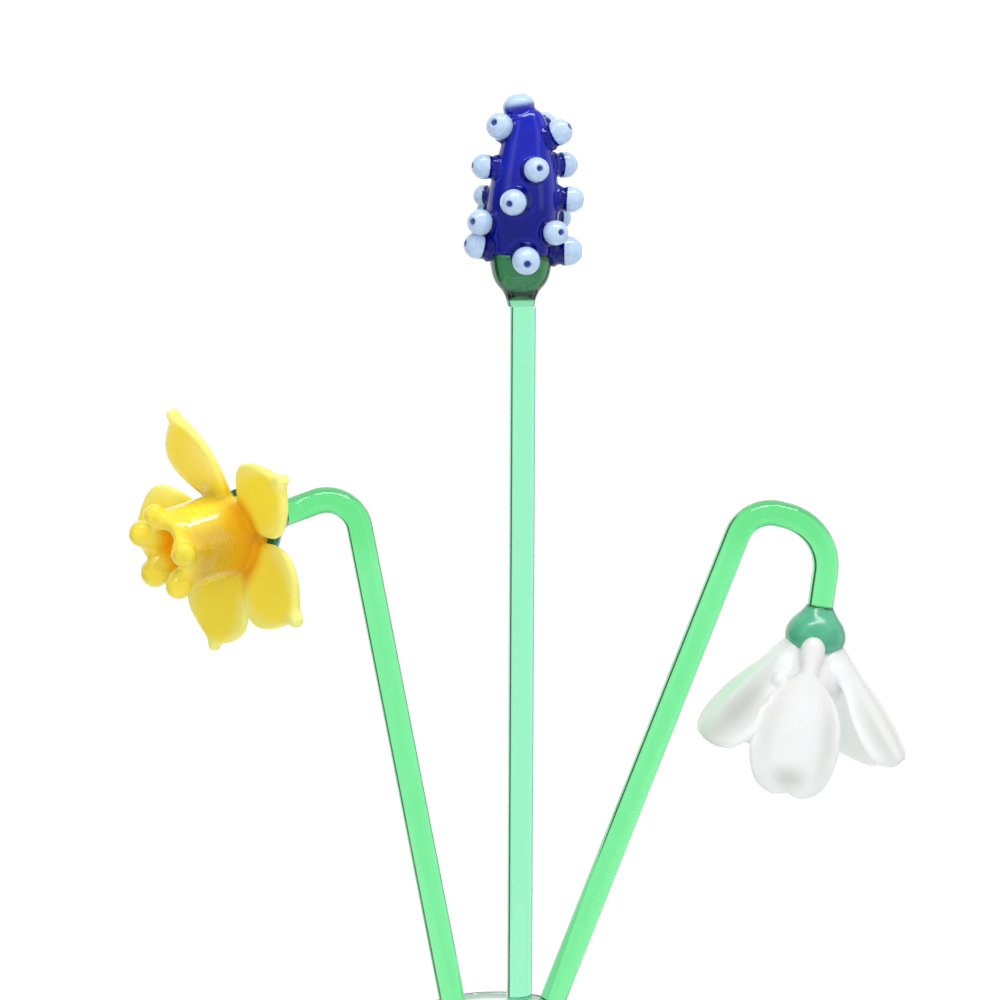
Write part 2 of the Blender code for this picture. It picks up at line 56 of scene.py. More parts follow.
TOP_SHADE_RISE = (0.45, 0.80)
CARD_LIGHT = 0.15
CARD_RIGHT = (37.0, 55.0)
CARD_LEFT = (60.0, 100.0)
CARD_TOP = 0.80
CARD_SOFT_TOP = 0.15
CARD_SOFT_SIDE = 3.0
FLOOR_RADIUS = 0.30
FOOT_GLOW = (0.38, 0.42, 0.40)
FOOT_GLOW_EDGE = (0.0185, 0.0245)
LIGHT_TARGET = (0.0, 0.0, 0.19)
# Place, width and height, power, and whether matt and glossy surfaces see it
LIGHTS = {
    "top light": ((0.10, -0.28, 1.15), (1.10, 0.15), 7.0, True, True),
    "left light": ((-0.95, -0.60, 0.85), (0.40, 1.30), 1.2, False, True),
    "right light": ((0.95, -0.58, 0.80), (0.40, 1.30), 1.2, False, True),
    "fill light": ((0.0, -1.30, 0.35), (2.40, 1.60), 10.5, True, False),
}

# Turned shapes are outlines: pairs of height and radius

# Vase
VASE_HEIGHT = 0.085
VASE_OUTLINE = (
    (0.0, 0.0205), (0.0005, 0.0225), (0.002, 0.0239), (0.005, 0.025),
    (0.014, 0.0271), (0.026, 0.028), (0.038, 0.0262), (0.05, 0.0208),
    (0.061, 0.0158), (0.071, 0.0137), (0.078, 0.0138), (0.0844, 0.0148),
)
VASE_WALL = 0.0013
VASE_FLOOR = 0.0060
VASE_FLOOR_ROUNDING = 0.0040
VASE_INSIDE_START = 0.0105
VASE_LIP_TINT = (0.0834, 0.0842)

# Rods
ROD_RADIUS = 0.0026
ROD_SIDES = 48
ROD_END_ROUNDING = 0.0008
BEND_STEP = 3.0
ROD_SUNK = 0.0006
ARCH_HEIGHTS = (0.174, 0.188)
JOINT = 0.00005
# Corners from the foot upwards, and the radii of the bends
DAFFODIL_ROUTE = ((0.0067, -0.0055, 0.0067), (-0.0286, -0.0055, 0.1914), (-0.0388, -0.0055, 0.1878))
DAFFODIL_BENDS = (0.0066, 0.0070)
HYACINTH_FOOT = (0.0043, 0.0055, 0.0063)
HYACINTH_TOP = (0.0053, 0.0055, 0.2285)
SNOWDROP_ROUTE = ((-0.0195, 0.0, 0.0073), (0.0504, 0.0, 0.1875), (0.0671, 0.0, 0.1833))
SNOWDROP_BENDS = (0.0072, 0.0104)
SNOWDROP_END = (0.0650, 0.0, 0.1676)

# Daffodil
DAFFODIL_NECK = 0.0150
DAFFODIL_NOD = 103.0
DAFFODIL_HEADING = 224.0
CALYX_BACK = -0.0010
CALYX_OUTLINE = (
    (0.0, 0.0079), (0.0022, 0.0071), (0.0042, 0.0056), (0.0064, 0.0038), (0.0084, 0.0028),
)
HUB_RADIUS = 0.0066
HUB_BACK = -0.0007
HUB_FRONT = 0.0030
TRUMPET_NOD = 101.0
TRUMPET_HEADING = 215.6
TRUMPET_BACK = 0.0010
TRUMPET_LENGTH = 0.0182
TRUMPET_OUTLINE = (
    (0.001, 0.0068), (0.003, 0.0079), (0.006, 0.0083), (0.012, 0.0081), (0.0182, 0.0078),
)
TRUMPET_MOUTH_RADIUS = 0.0045
TRUMPET_MOUTH_DEPTH = 0.0095
THREAD_TURNS = 7.0
THREAD_THICKNESS = 0.0012
THREAD_RING = 0.0069
THREAD_PITCH = 0.0020
# Height above the mouth's bottom and share of its radius
MOUTH_OUTLINE = ((0.0065, 0.96), (0.0050, 0.88), (0.0020, 0.72), (0.0006, 0.40))
LIP_SCALLOP = 0.0018
LIP_SCALLOP_START = 0.6
# Distance from the axis, half length, radius, and how far each arm reaches past its knob's middle
LIP_ARM = (0.0060, 0.0045, 0.0025, 0.0012)
LIP_KNOB_SPACING = 72.0
LIP_KNOB_RING = 0.0075
LIP_KNOB_TILT = -60.0
# Turn round the lip, distance along the trumpet, size
LIP_KNOBS = (
    (91.0, 0.0179, 1.00),
    (181.0, 0.0186, 0.88),
    (245.0, 0.0184, 1.10),
    (309.0, 0.0176, 1.20),
    (33.0, 0.0184, 1.06),
)
# Radius, thickness and distance out of the flat face on the nearest knob
LIP_FACE = (0.0017, 0.0006, 0.0018)
LIP_KNOB_OUTLINE = (
    (-0.0024, 0.0), (-0.0021, 0.0011), (-0.001, 0.0021), (0.0002, 0.0024),
    (0.0012, 0.0021), (0.0019, 0.0015), (0.0022, 0.0008), (0.0023, 0.0),
)
# Turn round the axis, tilt forward, roll, width and length against the form
DAFFODIL_PETALS = (
    (189.0, 21.0, -5.0, 0.91, 1.00),
    (122.0, 10.0, 0.0, 0.95, 0.84),
    (52.0, 16.0, -9.0, 1.07, 0.91),
    (-24.0, 10.0, -8.0, 0.93, 0.97),
    (-90.0, 22.0, 6.0, 1.19, 0.93),
)
# How much light each petal lets through from behind
DAFFODIL_PETAL_LIGHT = (1.0, 0.5, 0.0, 0.0, 1.0)
DAFFODIL_PETAL_ROOT = 0.0045
DAFFODIL_PETAL_SEAT = 0.0020
# A form's rows are the distance along, half width and half thickness; the tip is where the petal ends,
# the cup how far its sides rise, and the arch how many degrees it bends from root to end
DAFFODIL_PETAL = {
    "form": (
        (0.0, 0.0032, 0.0017), (0.0035, 0.0041, 0.0017), (0.0065, 0.0061, 0.0016),
        (0.01, 0.0079, 0.0016), (0.0135, 0.0083, 0.0016), (0.0165, 0.007, 0.0015),
        (0.019, 0.0046, 0.0014), (0.0208, 0.0021, 0.0013), (0.022, 0.0014, 0.0014),
        (0.023, 0.0011, 0.0011),
    ),
    "tip": 0.0234,
    "cup": 0.0012,
    "arch": -8.0,
}

# Where its colours fade in, from a measure's first bound to its second: metres out from the trumpet's axis
# (reach) or the petals' (spread), along the trumpet (height) or off a petal (off), shares along and across
# a petal, and degrees round from the side that is seen (turn)
SEEN_SIDE = 80.0
DAFFODIL_FADES = {
    "mouth": (("reach", 0.0056, 0.0040), ("height", 0.0040, 0.0060), ("height", 0.0176, 0.0150)),
    # The root's orange is partly the glass's own, where it is thick, and partly painted shade
    "root": (("spread", 0.0120, 0.0080), ("height", 0.0105, 0.0040)),
    "seen": (("turn", 85.0, 45.0),),
    # Painted shade: a darker ochre patch on the trumpet's lower side, towards the viewer
    "trumpet_shade": (("turn", 60.0, 25.0), ("reach", 0.0060, 0.0072), ("height", 0.0180, 0.0135)),
    "wet": (("reach", 0.0110, 0.0090), ("height", 0.0020, 0.0060)),
    "lip": (("height", 0.0150, 0.0170),),
    "knobs": (("height", 0.0110, 0.0130),),
    "side": (("across", 0.45, 1.0),),
    "tip": (("along", 0.80, 0.96),),
    "blade": (("along", 0.25, 0.40), ("off", 0.0035, 0.0020)),
    "lit": (("along", 0.15, 0.45), ("off", 0.0035, 0.0020)),
}
# How far out from the trumpet's axis its painted shade reaches
TRUMPET_SHADE_END = 0.0100
# Share of the root's orange, partly painted shade, left on the sides away from the viewer
ROOT_UNSEEN = 0.15
WET_LIP = 0.5
RIM_SIDE = 0.75

# Grape hyacinth
CUP_SHIFT = -0.0004
CUP_HEIGHT = 0.0084
CUP_FLARE = ((-0.0016, 0.00264), (-0.0008, 0.00285))
CUP_OUTLINE = (
    (0.0, 0.003), (0.0015, 0.0037), (0.0031, 0.005), (0.005, 0.0058), (0.0084, 0.0064),
)
CUP_RIM_STEP = 0.0004
CUP_NECK = (0.0004, -0.0006)
# Painted reflection: a dark ring inside the glass where the rod's end meets the cup
CUP_JOINT_REFLECTION_START = (-0.0004, 0.0003)
CUP_JOINT_REFLECTION_END = (0.0012, 0.0005)
SPIKE_LEAN = 2.9
SPIKE_OUTLINE = (
    (0.0, 0.0064), (0.0032, 0.0069), (0.009, 0.0073), (0.0145, 0.0067),
    (0.0205, 0.0053), (0.0255, 0.0041), (0.0283, 0.0025), (0.0293, 0.0),
)
GAP = 0.0003
STUB_OUTLINE = (
    (-0.003, 0.0012), (0.0, 0.0027), (0.0006, 0.0023), (0.0011, 0.0022),
    (0.0016, 0.0025), (0.0019, 0.0024),
)
CAP_OUTLINE = (
    (0.0016, 0.0), (0.0014, 0.0012), (0.0012, 0.002), (0.0016, 0.0024),
    (0.0025, 0.0025), (0.0034, 0.0023), (0.0041, 0.0018), (0.0046, 0.0012),
    (0.0047, 0.0007), (0.0043, 0.0003), (0.0041, 0.0),
)
# Height on the body, turn round it, turn that the floret faces, rise, size
FLORETS = (
    (-0.0007, 7.0, 6.0, -14.0, 1.12), (0.0008, 92.0, 92.0, 4.0, 1.20),
    (0.0022, 182.0, 182.0, 0.0, 1.00), (0.0008, -80.0, -72.0, 8.0, 1.08),
    (0.0043, 52.0, 28.0, 4.0, 1.00), (0.0076, 130.0, 130.0, 0.0, 1.00),
    (0.0082, -130.0, -130.0, 0.0, 0.90), (0.0057, -75.0, -40.0, 2.0, 1.05),
    (0.0113, 86.0, 86.0, 0.0, 1.04), (0.0120, 174.0, 174.0, 0.0, 1.00),
    (0.0112, -119.0, -119.0, 0.0, 0.88), (0.0104, -10.0, -20.0, -9.0, 1.05),
    (0.0164, 14.0, 16.0, 6.0, 1.00), (0.0180, 110.0, 110.0, 4.0, 1.05),
    (0.0176, -158.0, -158.0, 4.0, 1.00), (0.0168, -76.0, -76.0, 2.0, 1.00),
    (0.0233, 72.0, 66.0, 28.0, 1.05), (0.0252, 148.0, 148.0, 24.0, 1.00),
    (0.0236, -140.0, -140.0, 24.0, 1.00), (0.0244, -80.0, -30.0, 14.0, 1.08),
)
# Aside from the axis, height, lean, width and height against the usual floret
CROWN_FLORET = (-0.0014, 0.0269, -13.0, 1.28, 1.02)
SPIKE_HIGH = (0.0040, 0.0220)
# On a floret, where its colours, its painted shade and its painted highlight fade in: metres out from its
# axis (reach) or along it
STUB_SHADE_REACH = (0.0030, 0.0026)
STUB_SHADE_START = (-0.0006, 0.0002)
RING_HIGHLIGHT_REACH = 0.0033
RING_HIGHLIGHT_WIDTH = 0.00025
RING_HIGHLIGHT_HEIGHT = (0.0014, 0.0006)
DIMPLE_REACH = (0.0010, 0.0003)
DIMPLE_HEIGHT = (0.0032, 0.0036)
CAP_REACH = 0.0027
# Painted shade on the underside of the crown's cap
CROWN_SHADE_REACH = 0.0030
CROWN_SHADE_HEIGHT = (0.0033, 0.0019)

# Snowdrop
SNOWDROP_NOD = 171.0
SNOWDROP_HEADING = 180.0
OVARY_OUTLINE = (
    (0.0, 0.0), (0.0, 0.0027), (0.0016, 0.0038), (0.0034, 0.0053),
    (0.0056, 0.0061), (0.0078, 0.0057), (0.0091, 0.0043), (0.0096, 0.0),
)
# Painted reflection: a dark ring where the rod's end meets the ovary
OVARY_JOINT_REFLECTION = (0.0004, 0.00005)
BELL_OUTLINE = (
    (0.0078, 0.0), (0.0078, 0.0044), (0.0105, 0.0062), (0.0145, 0.0072),
    (0.0178, 0.007), (0.0185, 0.0063), (0.0178, 0.0052), (0.015, 0.0034),
    (0.0135, 0.0),
)
# Turn round the axis, tilt forward, roll, width and length against the form; the first is in front
SNOWDROP_PETALS = (
    (97.0, 66.0, -6.0, 0.97, 1.08),
    (14.0, 38.0, 10.0, 1.06, 0.91),
    (-43.0, 43.0, 5.0, 0.95, 1.04),
    (-129.0, 62.0, 0.0, 1.00, 0.80),
    (166.0, 43.0, -16.0, 0.95, 0.91),
)
# Distance from the axis and height of the petals' roots
SNOWDROP_FRONT_SEAT = (0.0052, 0.0078)
SNOWDROP_SIDE_SEAT = (0.0040, 0.0088)
SNOWDROP_FRONT_PETAL = {
    "form": (
        (-0.0016, 0.0018, 0.0018), (0.0, 0.0025, 0.0024), (0.0024, 0.0023, 0.0021),
        (0.005, 0.0018, 0.0017), (0.0068, 0.0036, 0.0014), (0.0095, 0.0066, 0.0013),
        (0.013, 0.0086, 0.0013), (0.0175, 0.0093, 0.0013), (0.022, 0.0088, 0.0013),
        (0.0252, 0.0076, 0.0012), (0.027, 0.006, 0.0011), (0.028, 0.0038, 0.0009),
    ),
    "tip": 0.0284,
    "cup": 0.0015,
    "arch": 18.0,
    "notch": 0.0008,
    "keel": 0.0009,
}
SNOWDROP_SIDE_PETAL = {
    **SNOWDROP_FRONT_PETAL,
    "form": (
        (-0.0016, 0.0018, 0.0018), (0.0, 0.004, 0.0024), (0.0024, 0.0046, 0.0021),
        (0.005, 0.0048, 0.0017), (0.0075, 0.0054, 0.0014), (0.0105, 0.0068, 0.0013),
        (0.014, 0.0084, 0.0013), (0.018, 0.0092, 0.0013), (0.022, 0.0092, 0.0013),
        (0.0248, 0.0083, 0.0012), (0.0268, 0.0065, 0.0011), (0.028, 0.004, 0.0009),
    ),
    "tip": 0.0286,
    "notch": 0.0,
}

# Glass that fills the hollow beside the front petal: its middle and radius
SNOWDROP_WEB = ((0.0564, -0.0058, 0.1532), 0.0016)

# Where light shows in the white glass: in the heart, through a petal behind, on the front petal's ridges
HEART_REACH = (0.0084, 0.0064)
HEART_HEIGHT = (0.0090, 0.0110)
GLOWING_PETAL = 2
RIDGE_ACROSS = 0.90
RIDGE_WIDTH = 0.06
RIDGE_START = (0.12, 0.25)
RIDGE_END = (0.70, 0.45)
RIDGE_GLOW = 0.35
WHITE_RIM_ACROSS = (0.80, 1.0)
WHITE_RIM_START = (0.25, 0.35)
PATCH_EDGE = (-0.04, 0.12)
# Petal number, share along, share across, length and width of the patch, strength, sharp edge across
SNOWDROP_PATCHES = {
    "green": (
        (4, 0.52, 0.40, 0.34, 0.50, 1.0, 0.0),
        (4, 0.95, 0.05, 0.12, 0.30, 0.7, None),
        (2, 0.70, 0.00, 0.40, 0.80, 0.12, None),
    ),
    # Painted shade on the petals
    "shade_grey": (
        (0, 0.87, 0.05, 0.07, 0.40, 1.0, None),
        (0, 0.55, -0.68, 0.30, 0.18, 0.55, None),
        (0, 0.55, 0.68, 0.30, 0.18, 0.35, None),
        (1, 0.70, 0.62, 0.30, 0.22, 0.6, 0.43),
        (4, 0.62, -0.45, 0.35, 0.40, 1.0, 0.0),
    ),
    "beige": (
        (0, 0.34, 0.70, 0.20, 0.16, 0.6, None),
        (0, 0.28, -0.70, 0.12, 0.16, 0.8, None),
        (0, 0.09, -0.80, 0.02, 0.40, 2.5, None),
        (1, 0.75, 0.05, 0.30, 0.25, 0.7, None),
    ),
}

# Colours laid over the glass where it is painted, and the greatest share of each
BLACK = (0.0, 0.0, 0.0)
# The dark ring is a painted reflection where the rod meets the cup
EMERALD_TINTS = {"neck": ((0.30, 0.90, 0.52), 1.0), "joint_reflection": ((0.01, 0.10, 0.04), 1.0)}
YELLOW_TINTS = {
    # Painted shade on the trumpet's lower side, towards the viewer
    "trumpet_shade": ((0.72, 0.45, 0.012), 1.0),
    "root": ((0.83, 0.42, 0.007), 1.0),
    "mouth": ((0.95, 0.52, 0.004), 1.0),
    "rim": ((0.95, 0.93, 0.28), 1.0),
}
# Painted light: emission that lifts the mouth and the petals lit from behind
YELLOW_GLOWS = {"lit": ((0.14, 0.09, 0.0), 1.0), "mouth": ((0.10, 0.055, 0.0), 1.0)}
# Painted shade on the stubs round the caps, and a painted highlight ring round each
COBALT_TINTS = {"stub": ((0.001, 0.003, 0.10), 0.5), "ring_highlight": ((0.020, 0.035, 0.62), 0.35)}
WHITE_TINTS = {
    "green": ((0.58, 0.84, 0.62), 1.0),
    # Painted shade
    "shade_grey": ((0.61, 0.62, 0.59), 1.0),
    "beige": ((0.84, 0.82, 0.77), 1.0),
}

PETAL_SIDES = 40
PETAL_FULLNESS = 0.75
KEEL_ROUNDING = 0.12
SHARP_ANGLE = 60.0
# Sockets of a colour Mix node
MIX_SHARE, MIX_FIRST, MIX_SECOND, MIX_RESULT = 0, 6, 7, 2

# Voxel size and rounds of smoothing where pieces of hot glass run together
TRUMPET_MELT = (0.00030, 8)
DAFFODIL_MELT = (0.00030, 5)
SPIKE_MELT = (0.00022, 4)
SNOWDROP_MELT = (0.00027, 5)


class Number:
    """A value that varies over a surface; sums written on it become Math nodes."""

    def __init__(self, recipe, socket):
        self.recipe = recipe
        self.socket = socket

    def math(self, operation, *values):
        return self.recipe.number("ShaderNodeMath", {"operation": operation}, values)

    def __add__(self, other):
        return self.math("ADD", self, other)

    def __radd__(self, other):
        return self.math("ADD", other, self)

    def __sub__(self, other):
        return self.math("SUBTRACT", self, other)

    def __rsub__(self, other):
        return self.math("SUBTRACT", other, self)

    def __mul__(self, other):
        return self.math("MULTIPLY", self, other)

    def __rmul__(self, other):
        return self.math("MULTIPLY", other, self)

    def ease(self, low, high):
        """0 below low, 1 above high, and an eased slope between."""
        return self.recipe.number(
            "ShaderNodeMapRange", {"interpolation_type": "SMOOTHSTEP"}, (self, low, high, 0.0, 1.0)
        )


class Recipe:
    """A node tree written as expressions."""

    def __init__(self, tree):
        self.tree = tree

    def node(self, kind, settings=None, values=()):
        """Any node: its settings first, then the values or links of its sockets."""
        made = self.tree.nodes.new(kind)
        for name, value in (settings or {}).items():
            setattr(made, name, value)
        pairs = values.items() if isinstance(values, dict) else enumerate(values)
        for key, value in pairs:
            value = getattr(value, "socket", value)
            if isinstance(value, bpy.types.NodeSocket):
                self.tree.links.new(value, made.inputs[key])
            else:
                made.inputs[key].default_value = value
        return made

    def number(self, kind, settings=None, values=(), output=0):
        return Number(self, self.node(kind, settings, values).outputs[output])

    def blend(self, share, first, second):
        """A colour between two others."""
        values = {MIX_SHARE: share}
        for key, colour in ((MIX_FIRST, first), (MIX_SECOND, second)):
            values[key] = colour if isinstance(colour, bpy.types.NodeSocket) else (*colour, 1.0)
        return self.node("ShaderNodeMix", {"data_type": "RGBA"}, values).outputs[MIX_RESULT]


class Finish(Recipe):
    """A glass finish: one Principled shader fed by patterns in the piece's own coordinates."""

    def __init__(self, name, **fixed):
        self.material = bpy.data.materials.new(name)
        self.material.use_nodes = True
        super().__init__(self.material.node_tree)
        self.shader = self.tree.nodes["Principled BSDF"]
        for socket, value in fixed.items():
            self.shader.inputs[socket.replace("_", " ")].default_value = value
        self.place = self.node("ShaderNodeTexCoord").outputs["Object"]

    def cloud(self, scale, detail=2.0, stretch=(1.0, 1.0, 1.0)):
        """Soft noise, scale patches to the metre."""
        place = self.node("ShaderNodeMapping", {}, {"Vector": self.place, "Scale": stretch}).outputs[0]
        return self.number("ShaderNodeTexNoise", {}, {"Vector": place, "Scale": scale, "Detail": detail})

    def painted(self, name):
        """A value written on the mesh's points when it was made."""
        return self.number("ShaderNodeAttribute", {"attribute_name": name}, (), output="Fac")

    def tinted(self, body, tints):
        """A colour with painted tints laid over it, each with its greatest share."""
        for name, (tint, share) in tints.items():
            body = self.blend(self.painted(name) * share, body, tint)
        return body

    def drive(self, label, value):
        """Let a number or a colour decide one of the shader's inputs."""
        self.tree.links.new(getattr(value, "socket", value), self.shader.inputs[label])

    def colour(self, value):
        self.drive("Base Color", value)

    def glow(self, value):
        """Light that reaches the eye through the glass."""
        self.drive("Emission Color", value)

    def coat(self, value):
        self.drive("Coat Weight", value)

    def rough(self, value):
        self.drive("Roughness", value)

    def relief(self, height, depth):
        """Raise the surface by height times depth."""
        raised = self.node("ShaderNodeBump", {}, {"Strength": 1.0, "Distance": depth, "Height": height})
        self.drive("Normal", raised.outputs[0])


def clear_glass():
    finish = Finish("clear glass", Transmission_Weight=1.0, IOR=1.50)
    drift = finish.cloud(40.0)
    body = finish.blend(drift, (0.92, 0.96, 0.94), (0.97, 0.99, 0.98))
    finish.colour(finish.tinted(body, {"lip": ((0.50, 0.72, 0.60), 1.0)}))
    finish.rough(drift * 0.02)
    finish.relief(finish.cloud(90.0), 0.00006)
    return finish.material


def rod_glass(name, pale, deep, gathered=0.0):
    """Clear coloured rod: faint drawn-out streaks, and a deeper colour where it is gathered in an arch."""
    finish = Finish(name, Transmission_Weight=1.0, IOR=1.50)
    streaks = finish.cloud(900.0, 2.0, (1.0, 1.0, 0.03))
    edge = finish.number("ShaderNodeLayerWeight", {}, {"Blend": 0.5}, output="Facing")
    height = finish.number("ShaderNodeSeparateXYZ", {}, (finish.place,), output="Z")
    share = 0.3 + streaks * 0.4 + edge * 0.8 - height.ease(*ARCH_HEIGHTS) * gathered
    finish.colour(finish.blend(share.ease(0.0, 1.0), deep, pale))
    finish.rough(streaks * 0.02)
    finish.relief(finish.cloud(220.0, 1.0, (1.0, 1.0, 0.15)), 0.0000015)
    return finish.material


def teal_glass():
    finish = Finish("teal glass", Transmission_Weight=0.35, IOR=1.50)
    drift = finish.cloud(500.0, 2.0)
    finish.colour(finish.blend(drift, (0.008, 0.15, 0.08), (0.06, 0.36, 0.22)))
    finish.rough(0.03 + drift * 0.05)
    finish.relief(drift, 0.00008)
    return finish.material


def emerald_glass():
    finish = Finish("emerald glass", Transmission_Weight=0.85, IOR=1.50)
    rings = finish.cloud(700.0, 2.0, (0.2, 0.2, 1.0))
    body = finish.blend(rings, (0.02, 0.15, 0.055), (0.05, 0.30, 0.12))
    finish.colour(finish.tinted(body, EMERALD_TINTS))
    finish.rough(0.02 + rings * 0.04)
    finish.relief(rings, 0.00010)
    return finish.material


def yellow_glass():
    """Opal yellow: orange where it is thick at the root, deepest as painted shade on the side towards the
    viewer, painted shade on that side of the trumpet, pale at the petals' rims and tips, and painted light
    glowing in the mouth and in petals lit from behind.
    """
    finish = Finish(
        "yellow glass", IOR=1.50, Specular_IOR_Level=0.25, Coat_Roughness=0.05,
        Subsurface_Weight=0.15, Subsurface_Radius=(1.0, 0.8, 0.25), Subsurface_Scale=0.002,
        Emission_Strength=1.0,
    )
    drift = finish.cloud(160.0, 3.0)
    wet = finish.painted("wet")
    root = finish.painted("root")
    threads = (finish.painted("wound") + drift * 1.5) * wet
    threads = threads.math("SINE", threads * 2 * math.pi)
    body = finish.blend(drift, (0.98, 0.76, 0.045), (0.99, 0.83, 0.075))
    warm = finish.blend(threads.ease(0.2, 1.0) * wet * 0.2, body, (0.90, 0.58, 0.020))
    finish.colour(finish.tinted(warm, YELLOW_TINTS))
    finish.glow(finish.tinted(BLACK, YELLOW_GLOWS))
    finish.rough(0.28 + drift * 0.10 - wet * 0.18 + root * 0.3)
    finish.coat(0.10 + wet * 0.9 + finish.painted("rim") * 0.4)
    finish.relief(finish.cloud(420.0, 2.0) * (0.4 + wet * 2.2) + threads * wet * 0.16, 0.00018)
    return finish.material


def cobalt_glass():
    finish = Finish("cobalt glass", IOR=1.50, Specular_IOR_Level=0.45)
    drift = finish.cloud(260.0, 3.0, (1.0, 1.0, 0.4))
    low = finish.blend(drift, (0.000, 0.001, 0.16), (0.002, 0.010, 0.32))
    high = finish.blend(drift, (0.000, 0.002, 0.30), (0.013, 0.026, 0.60))
    body = finish.blend(finish.painted("high"), low, high)
    finish.colour(finish.tinted(body, COBALT_TINTS))
    finish.rough(0.09 + drift * 0.08)
    finish.relief(finish.cloud(600.0, 2.0), 0.00002)
    return finish.material


def sky_glass():
    """Light blue caps: fine wound rings, a darker dimple, and painted shade on the underside of the crown's
    cap.
    """
    finish = Finish("light blue glass", IOR=1.50, Coat_Weight=0.6, Coat_Roughness=0.04)
    dimple = finish.painted("dimple")
    wound = finish.painted("wound")
    drift = finish.cloud(900.0, 2.0)
    face = finish.blend(drift, (0.46, 0.65, 0.96), (0.66, 0.82, 1.00))
    rings = wound.math("SINE", wound * 46.0)
    face = finish.blend(rings.ease(0.0, 1.0) * 0.28, face, (0.36, 0.56, 0.93))
    # Painted shade on the underside of the crown's cap
    face = finish.tinted(face, {"under": ((0.02, 0.03, 0.42), 1.0)})
    finish.colour(finish.blend(dimple.ease(0.0, 1.0), face, (0.03, 0.07, 0.38)))
    finish.rough(0.12 + drift * 0.08)
    finish.relief(rings, 0.000008)
    return finish.material


def sea_green_glass():
    finish = Finish(
        "sea green glass", IOR=1.50, Specular_IOR_Level=0.40, Coat_Weight=0.4, Coat_Roughness=0.15,
    )
    drift = finish.cloud(300.0, 3.0)
    body = finish.blend(drift, (0.045, 0.33, 0.185), (0.13, 0.57, 0.34))
    # A dark ring painted as the reflection where the rod meets the ovary
    finish.colour(finish.tinted(body, {"joint_reflection": ((0.005, 0.09, 0.04), 1.0)}))
    finish.rough(0.24 + drift * 0.06)
    finish.relief(drift, 0.000005)
    return finish.material


def white_glass():
    """Opal white: green drifts and painted shade in darker drifts along the petals, paler rims, and painted
    light glowing from within.
    """
    finish = Finish(
        "white glass", IOR=1.50, Coat_Weight=0.15, Coat_Roughness=0.06,
        Subsurface_Weight=0.40, Subsurface_Radius=(1.0, 1.0, 0.9), Subsurface_Scale=0.003,
        Emission_Strength=1.0,
    )
    drift = finish.cloud(220.0, 3.0)
    body = finish.blend(drift, (0.81, 0.82, 0.82), (0.88, 0.89, 0.90))
    rim = finish.painted("rim").ease(0.0, 1.0) * 0.6
    finish.colour(finish.blend(rim, finish.tinted(body, WHITE_TINTS), (0.92, 0.94, 0.94)))
    finish.glow(finish.tinted(BLACK, {"heart": ((0.10, 0.11, 0.10), 1.0)}))
    finish.rough(0.25 + drift * 0.10)
    finish.relief(finish.cloud(600.0, 2.0), 0.00002)
    return finish.material


def stage_paper():
    """White paper, with the light that the vase's clear foot lets through to it."""
    finish = Finish("white paper", Roughness=0.9, Emission_Strength=1.0)
    away = finish.number("ShaderNodeVectorMath", {"operation": "LENGTH"}, (finish.place,), output="Value")
    foot = 1 - away.ease(*FOOT_GLOW_EDGE)
    finish.glow(finish.blend(foot, BLACK, FOOT_GLOW))
    drift = finish.cloud(8.0)
    finish.colour(finish.blend(drift, (0.93, 0.93, 0.93), (0.95, 0.95, 0.95)))
    return finish.material


def angles(first, last, step):
    """Whole degrees from first to last, in radians."""
    return [math.radians(angle) for angle in range(first, last + 1, step)]


def curve_through(points, steps=4):
    """Points along a smooth curve through the given ones, with that many steps to each stretch."""
    points = [Vector(point) for point in points]
    made = []
    for index in range(len(points) - 1):
        here, there = points[index], points[index + 1]
        before = points[max(index - 1, 0)]
        after = points[min(index + 2, len(points) - 1)]
        for step in range(steps):
            part = step / steps
            made.append(0.5 * (
                here * 2
                + (there - before) * part
                + (before * 2 - here * 5 + there * 4 - after) * part ** 2
                + (here * 3 - before - there * 3 + after) * part ** 3
            ))
    made.append(points[-1])
    return [tuple(point) for point in made]


def skin(rings, start_tip, end_tip):
    """Faces between rings of points, closed at both ends on a single point."""
    made = bmesh.new()
    rows = [[made.verts.new(point) for point in ring] for ring in rings]
    sides = len(rows[0])
    for row, following in zip(rows, rows[1:]):
        for side in range(sides):
            beside = (side + 1) % sides
            made.faces.new((row[side], row[beside], following[beside], following[side]))
    for tip, row in ((start_tip, rows[0]), (end_tip, rows[-1])):
        point = made.verts.new(tip)
        for side in range(sides):
            made.faces.new((row[side], row[(side + 1) % sides], point))
    bmesh.ops.recalc_face_normals(made, faces=made.faces)
    return made


def turned(outline, sides):
    """A shape turned round Z from (height, radius) pairs, the first and last of them on the axis."""
    rings = []
    for height, radius in outline[1:-1]:
        ring = []
        for side in range(sides):
            turn = 2 * math.pi * side / sides
            ring.append(Vector((radius * math.cos(turn), radius * math.sin(turn), height)))
        rings.append(ring)
    return skin(rings, Vector((0, 0, outline[0][0])), Vector((0, 0, outline[-1][0])))


def closed(outline):
    """The outline with a point on the axis added at each end."""
    return [(outline[0][0], 0.0), *outline, (outline[-1][0], 0.0)]


def make_object(name, made, finish=None, place=Matrix.Identity(4)):
    """An object at the origin, with its place in its mesh, shaded smooth."""
    made.transform(place)
    mesh = bpy.data.meshes.new(name)
    made.to_mesh(mesh)
    made.free()
    mesh.shade_smooth()
    mesh.set_sharp_from_angle(angle=math.radians(SHARP_ANGLE))
    if finish:
        mesh.materials.append(finish)
    item = bpy.data.objects.new(name, mesh)
    bpy.context.scene.collection.objects.link(item)
    return item


def settle(item):
    """Turn an object's modifiers into a plain mesh."""
    graph = bpy.context.evaluated_depsgraph_get()
    mesh = bpy.data.meshes.new_from_object(item.evaluated_get(graph))
    item.modifiers.clear()
    item.data = mesh
    return item


